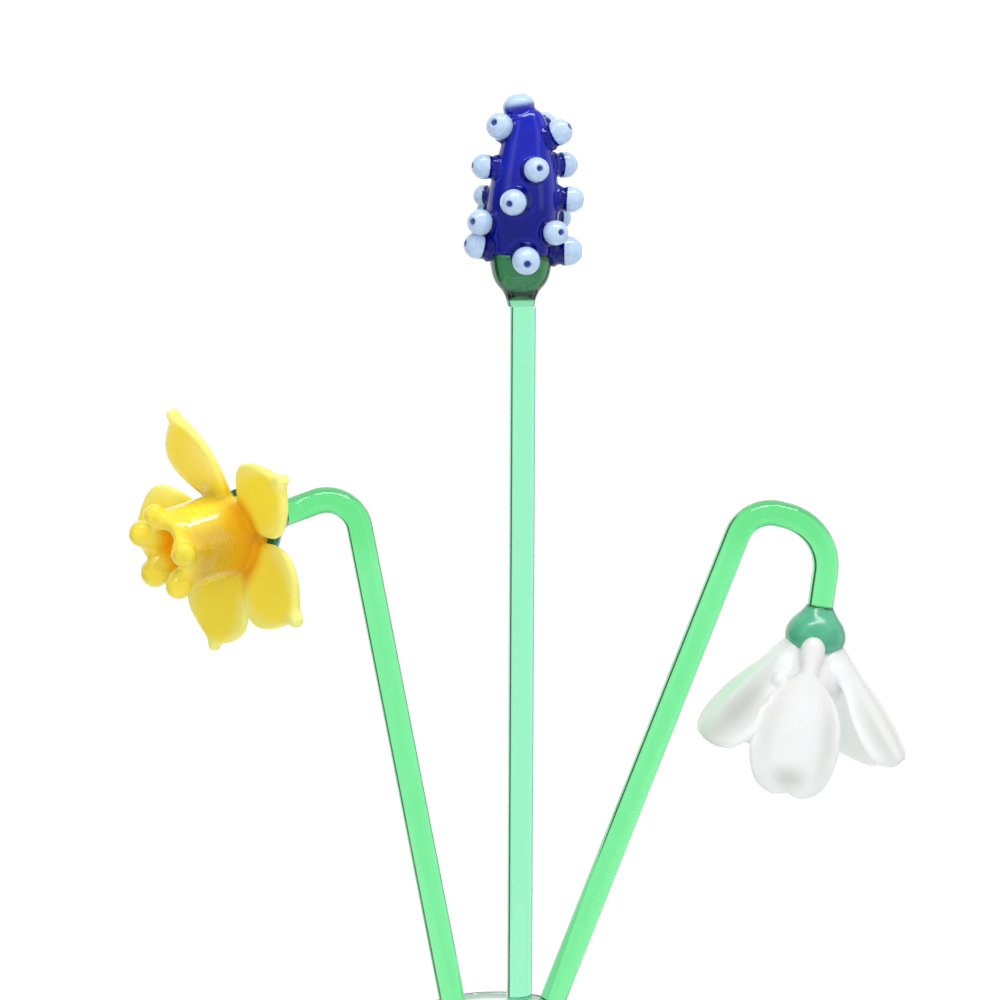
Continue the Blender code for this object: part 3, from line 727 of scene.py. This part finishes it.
def discard(items):
    for item in items:
        bpy.data.objects.remove(item)


def joined(name, items, finish=None):
    """One object from several; the several are removed."""
    made = bmesh.new()
    for item in items:
        made.from_mesh(item.data)
    discard(items)
    return make_object(name, made, finish)


def melted(name, items, finish, melt):
    """Several closed pieces run together as hot glass does, with soft fillets where they meet."""
    item = joined(name, items)
    remesh = item.modifiers.new("melt", "REMESH")
    remesh.mode = "VOXEL"
    soften = item.modifiers.new("soften", "SMOOTH")
    remesh.voxel_size, soften.iterations = melt
    settle(item)
    item.data.materials.clear()
    item.data.materials.append(finish)
    item.data.shade_smooth()
    return item


def spun(degrees, axis):
    return Matrix.Rotation(math.radians(degrees), 4, axis)


def aimed(place, nod, heading):
    """Where a head goes: its own Z axis leans from upright by nod, towards heading."""
    turn = Euler((0, math.radians(nod), math.radians(heading))).to_matrix().to_4x4()
    return Matrix.Translation(Vector(place)) @ turn


def facing(nod, heading):
    """The direction in which such a head looks."""
    return aimed((0, 0, 0), nod, heading).to_3x3() @ Vector((0, 0, 1))


def around(turn, root, seat, tilt, roll=0.0):
    """Where a petal goes: turned round the axis, its root out from it, tilted forward and rolled."""
    return (
        spun(turn, "Z")
        @ Matrix.Translation((root, 0, seat))
        @ spun(-tilt, "Y")
        @ spun(roll, "X")
    )


def new_tree(name, inputs):
    """A tree with named inputs and their kinds: its recipe, and the sockets that give them."""
    tree = bpy.data.node_groups.new(name, "GeometryNodeTree")
    for label, kind in inputs.items():
        tree.interface.new_socket(label, in_out="INPUT", socket_type="NodeSocket" + kind)
    tree.interface.new_socket("Geometry", in_out="OUTPUT", socket_type="NodeSocketGeometry")
    recipe = Recipe(tree)
    return recipe, recipe.node("NodeGroupInput").outputs


def real_and_dressed(recipe, geometry, finish):
    """Close a tree: its result made real, with its finish on."""
    real = recipe.node("GeometryNodeRealizeInstances", {}, (geometry,))
    dressed = recipe.node("GeometryNodeSetMaterial", {}, {"Geometry": real.outputs[0], "Material": finish})
    recipe.node("NodeGroupOutput", {}, (dressed.outputs[0],))
    return recipe.tree


def scatter_tree():
    """Copies of one piece on points, each turned and sized by its point's own values."""
    recipe, given = new_tree("repeats", {"Points": "Geometry", "Piece": "Object", "Finish": "Material"})
    piece = recipe.node("GeometryNodeObjectInfo", {}, {"Object": given["Piece"]})
    turn, grown = (
        recipe.node("GeometryNodeInputNamedAttribute", {"data_type": "FLOAT_VECTOR"}, {"Name": name})
        for name in ("turn", "grown")
    )
    turned_by = recipe.node("FunctionNodeEulerToRotation", {}, (turn.outputs[0],))
    copies = recipe.node("GeometryNodeInstanceOnPoints", {}, {
        "Points": given["Points"], "Instance": piece.outputs["Geometry"],
        "Rotation": turned_by.outputs[0], "Scale": grown.outputs[0],
    })
    return real_and_dressed(recipe, copies.outputs[0], given["Finish"])


def thread_tree():
    """A glass thread wound round and round into a tube."""
    recipe, given = new_tree("wound thread", {
        "Geometry": "Geometry", "Turns": "Float", "Ring radius": "Float", "Length": "Float",
        "Thread radius": "Float", "Finish": "Material",
    })
    path = recipe.node("GeometryNodeCurveSpiral", {}, {
        "Resolution": 48, "Rotations": given["Turns"], "Start Radius": given["Ring radius"],
        "End Radius": given["Ring radius"], "Height": given["Length"],
    })
    profile = recipe.node(
        "GeometryNodeCurvePrimitiveCircle", {}, {"Resolution": 16, "Radius": given["Thread radius"]}
    )
    tube = recipe.node("GeometryNodeCurveToMesh", {}, {
        "Curve": path.outputs[0], "Profile Curve": profile.outputs[0], "Fill Caps": True,
    })
    return real_and_dressed(recipe, tube.outputs[0], given["Finish"])


def grow(item, tree, values):
    """Run a tree on an object with the given inputs and keep the plain mesh."""
    modifier = item.modifiers.new("grow", "NODES")
    modifier.node_group = tree
    for socket in tree.interface.items_tree:
        if socket.in_out == "INPUT" and socket.name in values:
            modifier[socket.identifier] = values[socket.name]
    return settle(item)


def repeated(name, piece, places, finish=None):
    """One object with a copy of the piece at each place; a place is a matrix."""
    mesh = bpy.data.meshes.new(name)
    mesh.from_pydata([place.translation for place in places], [], [])
    turn = mesh.attributes.new("turn", "FLOAT_VECTOR", "POINT")
    grown = mesh.attributes.new("grown", "FLOAT_VECTOR", "POINT")
    for index, place in enumerate(places):
        turn.data[index].vector = place.to_euler()
        grown.data[index].vector = place.to_scale()
    item = bpy.data.objects.new(name, mesh)
    bpy.context.scene.collection.objects.link(item)
    grow(item, SCATTER, {"Piece": piece, "Finish": finish})
    discard([piece])
    return item


def paint(item, values):
    """Write named values on the mesh's points for its finish to read."""
    for name, numbers in values.items():
        layer = item.data.attributes.new(name, "FLOAT", "POINT")
        layer.data.foreach_set("value", np.asarray(numbers, dtype=np.float32))


def local_points(item, place=Matrix.Identity(4)):
    """The mesh's points in the coordinates of the head that it belongs to."""
    flat = np.empty(len(item.data.vertices) * 3, dtype=np.float32)
    item.data.vertices.foreach_get("co", flat)
    back = np.array(place.inverted())
    return flat.reshape(-1, 3) @ back[:3, :3].T + back[:3, 3]


def round_axis(item, place=Matrix.Identity(4)):
    """For each point its distance from the axis of its head, and its height along that axis."""
    x, y, height = local_points(item, place).T
    return np.hypot(x, y), height


def eased(values, none, full):
    """0 at the first bound and beyond it, 1 at the second, and an eased slope between."""
    part = np.clip((values - none) / (full - none), 0.0, 1.0)
    return part * part * (3 - 2 * part)


def bump(values, middle, width):
    return np.exp(-((values - middle) / width) ** 2)


def rounded_route(corners, radii):
    """A route through corners whose inner ones are rounded to the given radii."""
    points = [Vector(corners[0])]
    for before, corner, after, radius in zip(corners, corners[1:], corners[2:], radii):
        arriving = (Vector(corner) - Vector(before)).normalized()
        leaving = (Vector(after) - Vector(corner)).normalized()
        turn = arriving.angle(leaving)
        start = Vector(corner) - arriving * radius * math.tan(turn / 2)
        inward = (leaving - arriving * arriving.dot(leaving)).normalized()
        steps = round(math.degrees(turn) / BEND_STEP)
        for step in range(steps + 1):
            part = turn * step / steps
            points.append(
                start
                + arriving * radius * math.sin(part)
                + inward * radius * (1 - math.cos(part))
            )
    points.append(Vector(corners[-1]))
    return points


def ring_of(centre, across, beside, radius, sides):
    ring = []
    for side in range(sides):
        turn = 2 * math.pi * side / sides
        ring.append(centre + (across * math.cos(turn) + beside * math.sin(turn)) * radius)
    return ring


def rod(name, points, finish):
    """A round glass rod along a route, with a rounded foot."""
    rings = []
    across = Vector((0, 1, 0))
    last = len(points) - 1
    for index, point in enumerate(points):
        along = (points[min(index + 1, last)] - points[max(index - 1, 0)]).normalized()
        across = (across - along * across.dot(along)).normalized()
        beside = along.cross(across)
        if index == 0:
            for turn in angles(15, 65, 25):
                rise = ROD_END_ROUNDING * (1 - math.cos(turn))
                radius = ROD_RADIUS - ROD_END_ROUNDING * (1 - math.sin(turn))
                rings.append(ring_of(point + along * rise, across, beside, radius, ROD_SIDES))
            point = point + along * ROD_END_ROUNDING
        rings.append(ring_of(point, across, beside, ROD_RADIUS, ROD_SIDES))
    return make_object(name, skin(rings, points[0], points[-1]), finish)


def swell(share):
    """A fuller profile than a plain sine, so that a petal's rims stay thick and round."""
    return math.copysign(abs(share) ** PETAL_FULLNESS, share)


def petal(form, tip, cup, arch, notch=0.0, keel=0.0):
    """A leaf-shaped petal along +X from its root, hollowed towards +Z, with a keel along its back."""
    widest = max(row[1] for row in form)
    end = form[-1][0]
    start = form[0][0]
    place_x, place_z, last = start, 0.0, start
    rings = []
    for distance, half_width, half_thickness in curve_through(form):
        lean = math.radians(arch) * max(distance, 0.0) / end
        place_x += (distance - last) * math.cos(lean)
        place_z += (distance - last) * math.sin(lean)
        last = distance
        along = Vector((math.cos(lean), 0, math.sin(lean)))
        up = Vector((-math.sin(lean), 0, math.cos(lean)))
        drawn = notch * (max(distance, 0.0) / end) ** 3
        ring = []
        for side in range(PETAL_SIDES):
            turn = 2 * math.pi * side / PETAL_SIDES
            part = math.cos(turn)
            share = half_width / widest
            rise = half_thickness * swell(math.sin(turn)) + cup * (share * part) ** 2
            rise += keel * share * math.hypot(part, KEEL_ROUNDING)
            point = Vector((place_x, half_width * part, place_z)) + up * rise
            ring.append(point - along * drawn * math.cos(math.pi * part) * (1 - part ** 2))
        rings.append(ring)
    middle = rings[-1][0].lerp(rings[-1][PETAL_SIDES // 2], 0.5)
    return skin(rings, sum(rings[0], Vector()) / PETAL_SIDES, middle + along * (tip - end - notch))


def vase(finish):
    """The vase's outside, its round lip, its inside and the rounding of its floor."""
    outer = curve_through(VASE_OUTLINE)
    lip = VASE_WALL / 2
    outline = list(outer)
    for turn in angles(20, 160, 20):
        outline.append((
            VASE_HEIGHT - lip * (1 - math.sin(turn)),
            outer[-1][1] - lip + lip * math.cos(turn),
        ))
    for height, radius in reversed(outer):
        if height > VASE_INSIDE_START:
            outline.append((height, radius - VASE_WALL))
    floor_radius = outline[-1][1]
    for turn in angles(15, 90, 15):
        outline.append((
            VASE_FLOOR + VASE_FLOOR_ROUNDING * (1 - math.sin(turn)),
            floor_radius - VASE_FLOOR_ROUNDING * (1 - math.cos(turn)),
        ))
    item = make_object("clear_vase", turned(closed(outline), sides=120), finish)
    _, height = round_axis(item)
    paint(item, {"lip": eased(height, *VASE_LIP_TINT)})
    return item


def daffodil_frames():
    """The ring where the petals meet, and the trumpet, which looks a little aside of it."""
    centre = Vector(DAFFODIL_ROUTE[-1]) + facing(DAFFODIL_NOD, DAFFODIL_HEADING) * DAFFODIL_NECK
    return aimed(centre, DAFFODIL_NOD, DAFFODIL_HEADING), aimed(centre, TRUMPET_NOD, TRUMPET_HEADING)


def daffodil_rod(finish):
    back = CALYX_BACK - CALYX_OUTLINE[-1][0] + ROD_SUNK
    end = daffodil_frames()[0].translation + facing(DAFFODIL_NOD, DAFFODIL_HEADING) * back
    return rod("daffodil_rod", rounded_route((*DAFFODIL_ROUTE, end), DAFFODIL_BENDS), finish)


def daffodil_calyx(finish):
    ring, _ = daffodil_frames()
    outline = [(CALYX_BACK - height, radius) for height, radius in curve_through(CALYX_OUTLINE, steps=5)]
    outline.insert(0, (CALYX_BACK + GAP, CALYX_OUTLINE[0][1] - GAP))
    return make_object("calyx_cone", turned(closed(outline), sides=64), finish, ring)


def ball(radius, length):
    """A ball stretched to a half length along Z."""
    outline = [(length * math.sin(turn), radius * math.cos(turn)) for turn in angles(-90, 90, 10)]
    return turned(outline, sides=32)


def horn_shell():
    """The trumpet's solid back and its wall, with a rounded lip."""
    outline = curve_through(TRUMPET_OUTLINE)
    lip_radius = TRUMPET_OUTLINE[-1][1]
    lip_round = (lip_radius - TRUMPET_MOUTH_RADIUS) / 2
    for turn in angles(15, 180, 15):
        outline.append((
            TRUMPET_LENGTH + lip_round * math.sin(turn),
            lip_radius - lip_round * (1 - math.cos(turn)),
        ))
    bottom = TRUMPET_LENGTH - TRUMPET_MOUTH_DEPTH
    outline += [(bottom + height, share * TRUMPET_MOUTH_RADIUS) for height, share in MOUTH_OUTLINE]
    return turned(closed(outline), sides=80)


def scallop(item):
    """Draw the lip back between the knobs."""
    for vertex in item.data.vertices:
        turn = math.degrees(math.atan2(vertex.co.y, vertex.co.x))
        away = min(abs((turn - knob[0] + 180) % 360 - 180) for knob in LIP_KNOBS)
        wave = math.radians(min(away, LIP_KNOB_SPACING / 2) * (360 / LIP_KNOB_SPACING))
        near_lip = (vertex.co.z / TRUMPET_LENGTH - LIP_SCALLOP_START) / (1 - LIP_SCALLOP_START)
        near_lip = max(0.0, min(1.0, near_lip))
        vertex.co.z -= LIP_SCALLOP * near_lip ** 2 * (1 - math.cos(wave)) / 2


def trumpet(horn, knob_places):
    """The wound trumpet, with the knobs on its lip and an arm under each, melted together."""
    shell = make_object("horn", horn_shell())
    thread = grow(make_object("thread", bmesh.new()), THREAD, {
        "Turns": THREAD_TURNS, "Ring radius": THREAD_RING, "Thread radius": THREAD_THICKNESS,
        "Length": TRUMPET_LENGTH - TRUMPET_BACK - 2 * THREAD_THICKNESS,
    })
    thread.data.transform(Matrix.Translation((0, 0, TRUMPET_BACK + THREAD_THICKNESS)))
    for part in (shell, thread):
        scallop(part)
        part.data.transform(horn)
    knob = make_object("knob", turned(curve_through(LIP_KNOB_OUTLINE), sides=32))
    knobs = repeated("lip_knobs", knob, knob_places)
    arm_ring, arm_length, arm_radius, arm_reach = LIP_ARM
    arm_places = []
    for turn, along, size in LIP_KNOBS:
        place = horn @ around(turn, arm_ring, along - arm_length + arm_reach, 0.0)
        arm_places.append(place @ Matrix.Diagonal((size, size, 1, 1)))
    arms = repeated("lip_arms", make_object("arm", ball(arm_radius, arm_length)), arm_places)
    return melted("trumpet", [shell, thread, knobs, arms], None, TRUMPET_MELT)


def daffodil_bloom(finish):
    """Petals, hub and trumpet melted into one piece of opal glass, with a flat face on the nearest knob."""
    ring, horn = daffodil_frames()
    knob_places = [
        horn @ around(turn, LIP_KNOB_RING, along, LIP_KNOB_TILT) @ Matrix.Scale(size, 4)
        for turn, along, size in LIP_KNOBS
    ]
    hub_outline = ((HUB_BACK, HUB_RADIUS), (HUB_FRONT, HUB_RADIUS))
    hub = make_object("hub", turned(closed(hub_outline), sides=48), place=ring)
    places = []
    for turn, tilt, roll, width, length in DAFFODIL_PETALS:
        place = ring @ around(turn, DAFFODIL_PETAL_ROOT, DAFFODIL_PETAL_SEAT, tilt, roll)
        places.append(place @ Matrix.Diagonal((length, width, 1, 1)))
    petals = repeated("petals", make_object("blade", petal(**DAFFODIL_PETAL)), places)
    bloom = melted("bloom", [trumpet(horn, knob_places), hub, petals], finish, DAFFODIL_MELT)
    face_radius, face_thickness, face_out = LIP_FACE
    face_place = knob_places[0] @ Matrix.Translation((0, 0, face_out))
    face = repeated("face", make_object("disc", ball(face_radius, face_thickness)), [face_place])
    bloom = joined("yellow_bloom", [bloom, face], finish)
    paint(bloom, daffodil_tones(bloom, ring, horn, places))
    return bloom


def on_petals(item, places, kind):
    """For each point the nearest petal, shares along and across it, and how far off it the point is."""
    stations, widths, _ = zip(*kind["form"])
    tip = kind["tip"]
    count = len(item.data.vertices)
    owner, off = np.full(count, -1), np.full(count, 1.0)
    along, across = np.zeros(count), np.zeros(count)
    for number, place in enumerate(places):
        far, aside, up = local_points(item, place).T
        rise = far * np.sin(np.radians(kind["arch"]) * far / stations[-1] / 2)
        rise += kind["cup"] * (aside / max(widths)) ** 2
        width = np.interp(far, stations, widths)
        miss = np.abs(up - rise) + np.maximum(np.abs(aside) - width, 0)
        miss += np.maximum(stations[0] - far, 0) + np.maximum(far - tip, 0)
        nearer = miss < off
        owner = np.where(nearer, number, owner)
        along = np.where(nearer, far / tip, along)
        across = np.where(nearer, aside / width, across)
        off = np.where(nearer, miss, off)
    return owner, along, across, off


def daffodil_tones(bloom, ring, horn, places):
    """Orange at the root and in the mouth, pale along the petals' rims and at their tips; painted shade on
    the trumpet and on the root's side towards the viewer, and painted light in petals lit from behind.
    """
    x, y, height = local_points(bloom, horn).T
    owner, along, across, off = on_petals(bloom, places, DAFFODIL_PETAL)
    measures = {
        "reach": np.hypot(x, y), "height": height, "along": along, "across": np.abs(across), "off": off,
        "spread": round_axis(bloom, ring)[0],
        "turn": np.abs((np.degrees(np.arctan2(y, x)) - SEEN_SIDE + 180) % 360 - 180),
    }
    share = {}
    for name, fades in DAFFODIL_FADES.items():
        slopes = [eased(measures[measure], none, full) for measure, none, full in fades]
        share[name] = np.prod(slopes, axis=0)
    # The root's orange is kept mostly to the side towards the viewer, where it also stands for painted
    # shade
    root = share["root"] * (ROOT_UNSEEN + (1 - ROOT_UNSEEN) * share["seen"])
    wet = np.maximum(share["wet"] * (1 - WET_LIP * share["lip"]), WET_LIP * share["knobs"])
    return {
        "mouth": share["mouth"],
        "root": root,
        # Painted shade on the trumpet's lower side, towards the viewer
        "trumpet_shade": share["trumpet_shade"] * (measures["reach"] < TRUMPET_SHADE_END),
        "rim": np.maximum(share["side"] * RIM_SIDE, share["tip"]) * share["blade"],
        "wet": wet * (1 - root),
        "lit": share["lit"] * np.array(DAFFODIL_PETAL_LIGHT)[owner],
        "wound": height / THREAD_PITCH,
    }


def hyacinth_frames():
    cup = Vector(HYACINTH_TOP) + Vector((CUP_SHIFT, 0, GAP))
    dip = SPIKE_OUTLINE[0][1] * math.sin(math.radians(SPIKE_LEAN))
    foot = cup + Vector((0, 0, CUP_HEIGHT + GAP + dip))
    return Matrix.Translation(cup), aimed(foot, SPIKE_LEAN, 0.0)


def hyacinth_rod(finish):
    top = Vector(HYACINTH_TOP) + Vector((0, 0, CUP_FLARE[0][0] + GAP - JOINT))
    return rod("hyacinth_rod", [Vector(HYACINTH_FOOT), top], finish)


def hyacinth_cup(finish):
    cup, _ = hyacinth_frames()
    outline = curve_through(CUP_FLARE + CUP_OUTLINE, steps=8)
    outline.append((CUP_HEIGHT + 2 * GAP, CUP_OUTLINE[-1][1] - CUP_RIM_STEP))
    item = make_object("emerald_cup", turned(closed(outline), sides=64), finish, cup)
    _, height = round_axis(item, cup)
    # Painted reflection: a dark ring where the rod's end meets the cup
    joint_reflection = eased(height, *CUP_JOINT_REFLECTION_START) * eased(height, *CUP_JOINT_REFLECTION_END)
    paint(item, {"neck": eased(height, *CUP_NECK), "joint_reflection": joint_reflection})
    return item


def body_radius(height):
    for here, there in zip(SPIKE_OUTLINE, SPIKE_OUTLINE[1:]):
        if height <= there[0]:
            break
    part = (height - here[0]) / (there[0] - here[0])
    return here[1] + (there[1] - here[1]) * part


def floret_places(spike):
    """A matrix for each floret: +Z out of the body, sized."""
    places = []
    for height, turn, looks, rise, size in FLORETS:
        places.append(
            spike
            @ spun(turn - 90.0, "Z")
            @ Matrix.Translation((body_radius(height), 0, height))
            @ spun(looks - turn, "Z")
            @ spun(90.0 - rise, "Y")
            @ Matrix.Scale(size, 4)
        )
    aside, height, lean, width, tall = CROWN_FLORET
    places.append(
        spike
        @ Matrix.Translation((aside, 0, height))
        @ spun(lean, "Y")
        @ Matrix.Diagonal((width, width, tall, 1))
    )
    return places


def hyacinth_spike(blue, sky):
    """The cobalt body with its stubs melted on, and the light blue caps."""
    _, spike = hyacinth_frames()
    places = floret_places(spike)
    outline = [(-2 * GAP, 0.0), (-2 * GAP, SPIKE_OUTLINE[0][1] - 2 * GAP)]
    outline += curve_through(SPIKE_OUTLINE, steps=6)
    body = make_object("body", turned(outline, sides=72), place=spike)
    stubs = repeated("stubs", make_object("stub", turned(closed(STUB_OUTLINE), sides=32)), places)
    core = melted("cobalt_spike", [body, stubs], blue, SPIKE_MELT)
    paint(core, spike_tones(core, spike, places))
    cap = make_object("cap", turned(curve_through(CAP_OUTLINE), sides=40))
    reach, out = round_axis(cap)
    dimple = eased(reach, *DIMPLE_REACH) * eased(out, *DIMPLE_HEIGHT)
    paint(cap, {"dimple": dimple, "wound": reach / CAP_REACH})
    caps = repeated("light_blue_caps", cap, places, sky)
    caps.data.shade_smooth()
    reach, out = round_axis(caps, places[-1])
    # Painted shade on the underside of the crown's cap
    paint(caps, {"under": eased(out, *CROWN_SHADE_HEIGHT) * (reach < CROWN_SHADE_REACH)})
    return core, caps


def spike_tones(core, spike, places):
    """Brighter blue towards the top, painted shade darkening the stubs round each cap, and a painted
    highlight ring round each.
    """
    _, height = round_axis(core, spike)
    stub, ring_highlight = np.zeros(len(height)), np.zeros(len(height))
    for place in places[:-1]:
        reach, out = round_axis(core, place)
        # Painted shade on the stub round each cap
        stub = np.maximum(stub, eased(reach, *STUB_SHADE_REACH) * eased(out, *STUB_SHADE_START))
        # A painted highlight ring where the stub meets the body
        ring = bump(reach, RING_HIGHLIGHT_REACH, RING_HIGHLIGHT_WIDTH)
        ring_highlight = np.maximum(ring_highlight, ring * eased(np.abs(out), *RING_HIGHLIGHT_HEIGHT))
    return {"stub": stub, "ring_highlight": ring_highlight, "high": eased(height, *SPIKE_HIGH)}


def snowdrop_frame():
    end = Vector(SNOWDROP_END) + facing(SNOWDROP_NOD, SNOWDROP_HEADING) * GAP
    return aimed(end, SNOWDROP_NOD, SNOWDROP_HEADING)


def snowdrop_rod(finish):
    end = Vector(SNOWDROP_END) + facing(SNOWDROP_NOD, SNOWDROP_HEADING) * ROD_SUNK
    return rod("snowdrop_rod", rounded_route((*SNOWDROP_ROUTE, end), SNOWDROP_BENDS), finish)


def snowdrop_ovary(finish):
    place = snowdrop_frame()
    outline = [OVARY_OUTLINE[0], *curve_through(OVARY_OUTLINE[1:], steps=5)]
    item = make_object("sea_green_ovary", turned(outline, sides=72), finish, place)
    _, height = round_axis(item, place)
    # Painted reflection: a dark ring where the rod's end meets the ovary
    paint(item, {"joint_reflection": eased(height, *OVARY_JOINT_REFLECTION)})
    return item


def snowdrop_bloom(finish):
    """Petals and the small inner bell melted into one piece of white opal glass."""
    place = snowdrop_frame()
    outline = [BELL_OUTLINE[0], *curve_through(BELL_OUTLINE[1:], steps=3)]
    parts = [make_object("bell", turned(outline, sides=48), place=place)]
    places = []
    for number, (turn, tilt, roll, width, length) in enumerate(SNOWDROP_PETALS):
        root, seat = SNOWDROP_SIDE_SEAT if number else SNOWDROP_FRONT_SEAT
        places.append(place @ around(turn, root, seat, tilt, roll) @ Matrix.Diagonal((length, width, 1, 1)))
    for kind, chosen in ((SNOWDROP_FRONT_PETAL, places[:1]), (SNOWDROP_SIDE_PETAL, places[1:])):
        parts.append(repeated("petals", make_object("blade", petal(**kind)), chosen))
    web_place, web_radius = SNOWDROP_WEB
    parts.append(make_object("web", ball(web_radius, web_radius), place=Matrix.Translation(web_place)))
    bloom = melted("white_bloom", parts, finish, SNOWDROP_MELT)
    paint(bloom, snowdrop_tones(bloom, place, places))
    return bloom


def snowdrop_tones(bloom, place, places):
    """Soft patches of green and beige on the petals, painted shade in darker patches, their pale rims, and
    light from within.
    """
    owner, along, across, _ = on_petals(bloom, places, SNOWDROP_FRONT_PETAL)
    reach, down = round_axis(bloom, place)
    heart = eased(reach, *HEART_REACH) * eased(down, *HEART_HEIGHT) * (owner != 0)
    ridge = bump(np.abs(across), RIDGE_ACROSS, RIDGE_WIDTH) * eased(along, *RIDGE_START)
    ridge *= RIDGE_GLOW * eased(along, *RIDGE_END) * (owner == 0)
    through = np.where(owner == GLOWING_PETAL, 1.0, ridge)
    tones = {
        "rim": eased(np.abs(across), *WHITE_RIM_ACROSS) * eased(along, *WHITE_RIM_START),
        "heart": np.maximum(heart, through),
    }
    for name, patches in SNOWDROP_PATCHES.items():
        tone = np.zeros(len(owner))
        for petal_number, middle, aside, length, width, strength, edge in patches:
            spot = bump(along, middle, length) * bump(across, aside, width)
            if edge is not None:
                spot *= eased((across - edge) * np.sign(aside - edge), *PATCH_EDGE)
            tone = np.maximum(tone, np.where(owner == petal_number, spot * strength, 0))
        tones[name] = tone
    return tones


def dress(piece, node):
    """Attach a piece to the frame's root body and hide the model part that it stands for."""
    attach(piece, "root")
    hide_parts(node)


def floor(finish):
    made = bmesh.new()
    bmesh.ops.create_circle(made, cap_ends=True, radius=FLOOR_RADIUS, segments=96)
    make_object("floor", made, finish)


def area_light(name, place, size, power, matt, gloss):
    """A soft light aimed at the flowers: without matt it makes only highlights, without gloss none."""
    data = bpy.data.lights.new(name, "AREA")
    data.shape = "RECTANGLE"
    data.size, data.size_y = size
    data.energy = power
    item = bpy.data.objects.new(name, data)
    item.location = place
    item.rotation_euler = (Vector(LIGHT_TARGET) - Vector(place)).to_track_quat("-Z", "Y").to_euler()
    item.visible_diffuse = matt
    item.visible_glossy = gloss
    item.visible_transmission = matt and gloss
    bpy.context.scene.collection.objects.link(item)


def surroundings():
    """A white tent, dimmer towards the viewer, with a dark card on each side for the rods' edges."""
    world = bpy.data.worlds.new("light tent")
    bpy.context.scene.world = world
    world.use_nodes = True
    recipe = Recipe(world.node_tree)
    sky = recipe.node("ShaderNodeTexCoord").outputs["Generated"]
    parts = recipe.node("ShaderNodeSeparateXYZ", {}, (sky,)).outputs
    sideways, away, up = (Number(recipe, socket) for socket in parts)
    bearing = sideways.math("ARCTAN2", sideways, away)
    light = FRONT_LIGHT + (BACK_LIGHT - FRONT_LIGHT) * away.ease(*FRONT_TO_BACK)
    light = light * (1 - (1 - TOP_SHADE) * up.ease(*TOP_SHADE_RISE))
    level = 1 - up.math("ABSOLUTE", up).ease(CARD_TOP - CARD_SOFT_TOP, CARD_TOP)
    for sign, (near, far) in ((1, CARD_RIGHT), (-1, CARD_LEFT)):
        angle = bearing * sign
        card = angle.ease(math.radians(near), math.radians(near + CARD_SOFT_SIDE))
        card = card * (1 - angle.ease(math.radians(far - CARD_SOFT_SIDE), math.radians(far))) * level
        light = light * (1 - card) + CARD_LIGHT * card
    seen = recipe.number("ShaderNodeLightPath", output="Is Camera Ray")
    light = light * (1 - seen) + BACK_LIGHT * seen
    background = world.node_tree.nodes["Background"]
    background.inputs["Color"].default_value = (1.0, 1.0, 1.0, 1.0)
    world.node_tree.links.new(light.socket, background.inputs["Strength"])


def camera():
    data = bpy.data.cameras.new("camera")
    data.lens = CAMERA_LENS
    data.sensor_width = SENSOR_WIDTH
    item = bpy.data.objects.new("camera", data)
    item.location = CAMERA_PLACE
    item.rotation_euler = [math.radians(angle) for angle in CAMERA_TURN]
    bpy.context.scene.collection.objects.link(item)
    bpy.context.scene.camera = item


SCATTER = scatter_tree()
THREAD = thread_tree()


def main():
    green = rod_glass("rod green glass", (0.24, 0.915, 0.40), (0.15, 0.80, 0.27), 0.6)
    mint = rod_glass("mint glass", (0.36, 0.93, 0.62), (0.28, 0.86, 0.50))
    dress(vase(clear_glass()), "vase")
    dress(daffodil_rod(green), "daffodil_stem")
    dress(daffodil_calyx(teal_glass()), "daffodil_calyx")
    dress(daffodil_bloom(yellow_glass()), "daffodil_bloom")
    dress(hyacinth_rod(mint), "hyacinth_stem")
    dress(hyacinth_cup(emerald_glass()), "hyacinth_base")
    core, caps = hyacinth_spike(cobalt_glass(), sky_glass())
    dress(core, "hyacinth_spike")
    dress(caps, "hyacinth_spike")
    dress(snowdrop_rod(green), "snowdrop_stem")
    dress(snowdrop_ovary(sea_green_glass()), "snowdrop_ovary")
    dress(snowdrop_bloom(white_glass()), "snowdrop_bloom")
    floor(stage_paper())
    for name, light in LIGHTS.items():
        area_light(name, *light)
    surroundings()
    camera()
    bpy.context.scene.view_settings.view_transform = "Standard"


main()
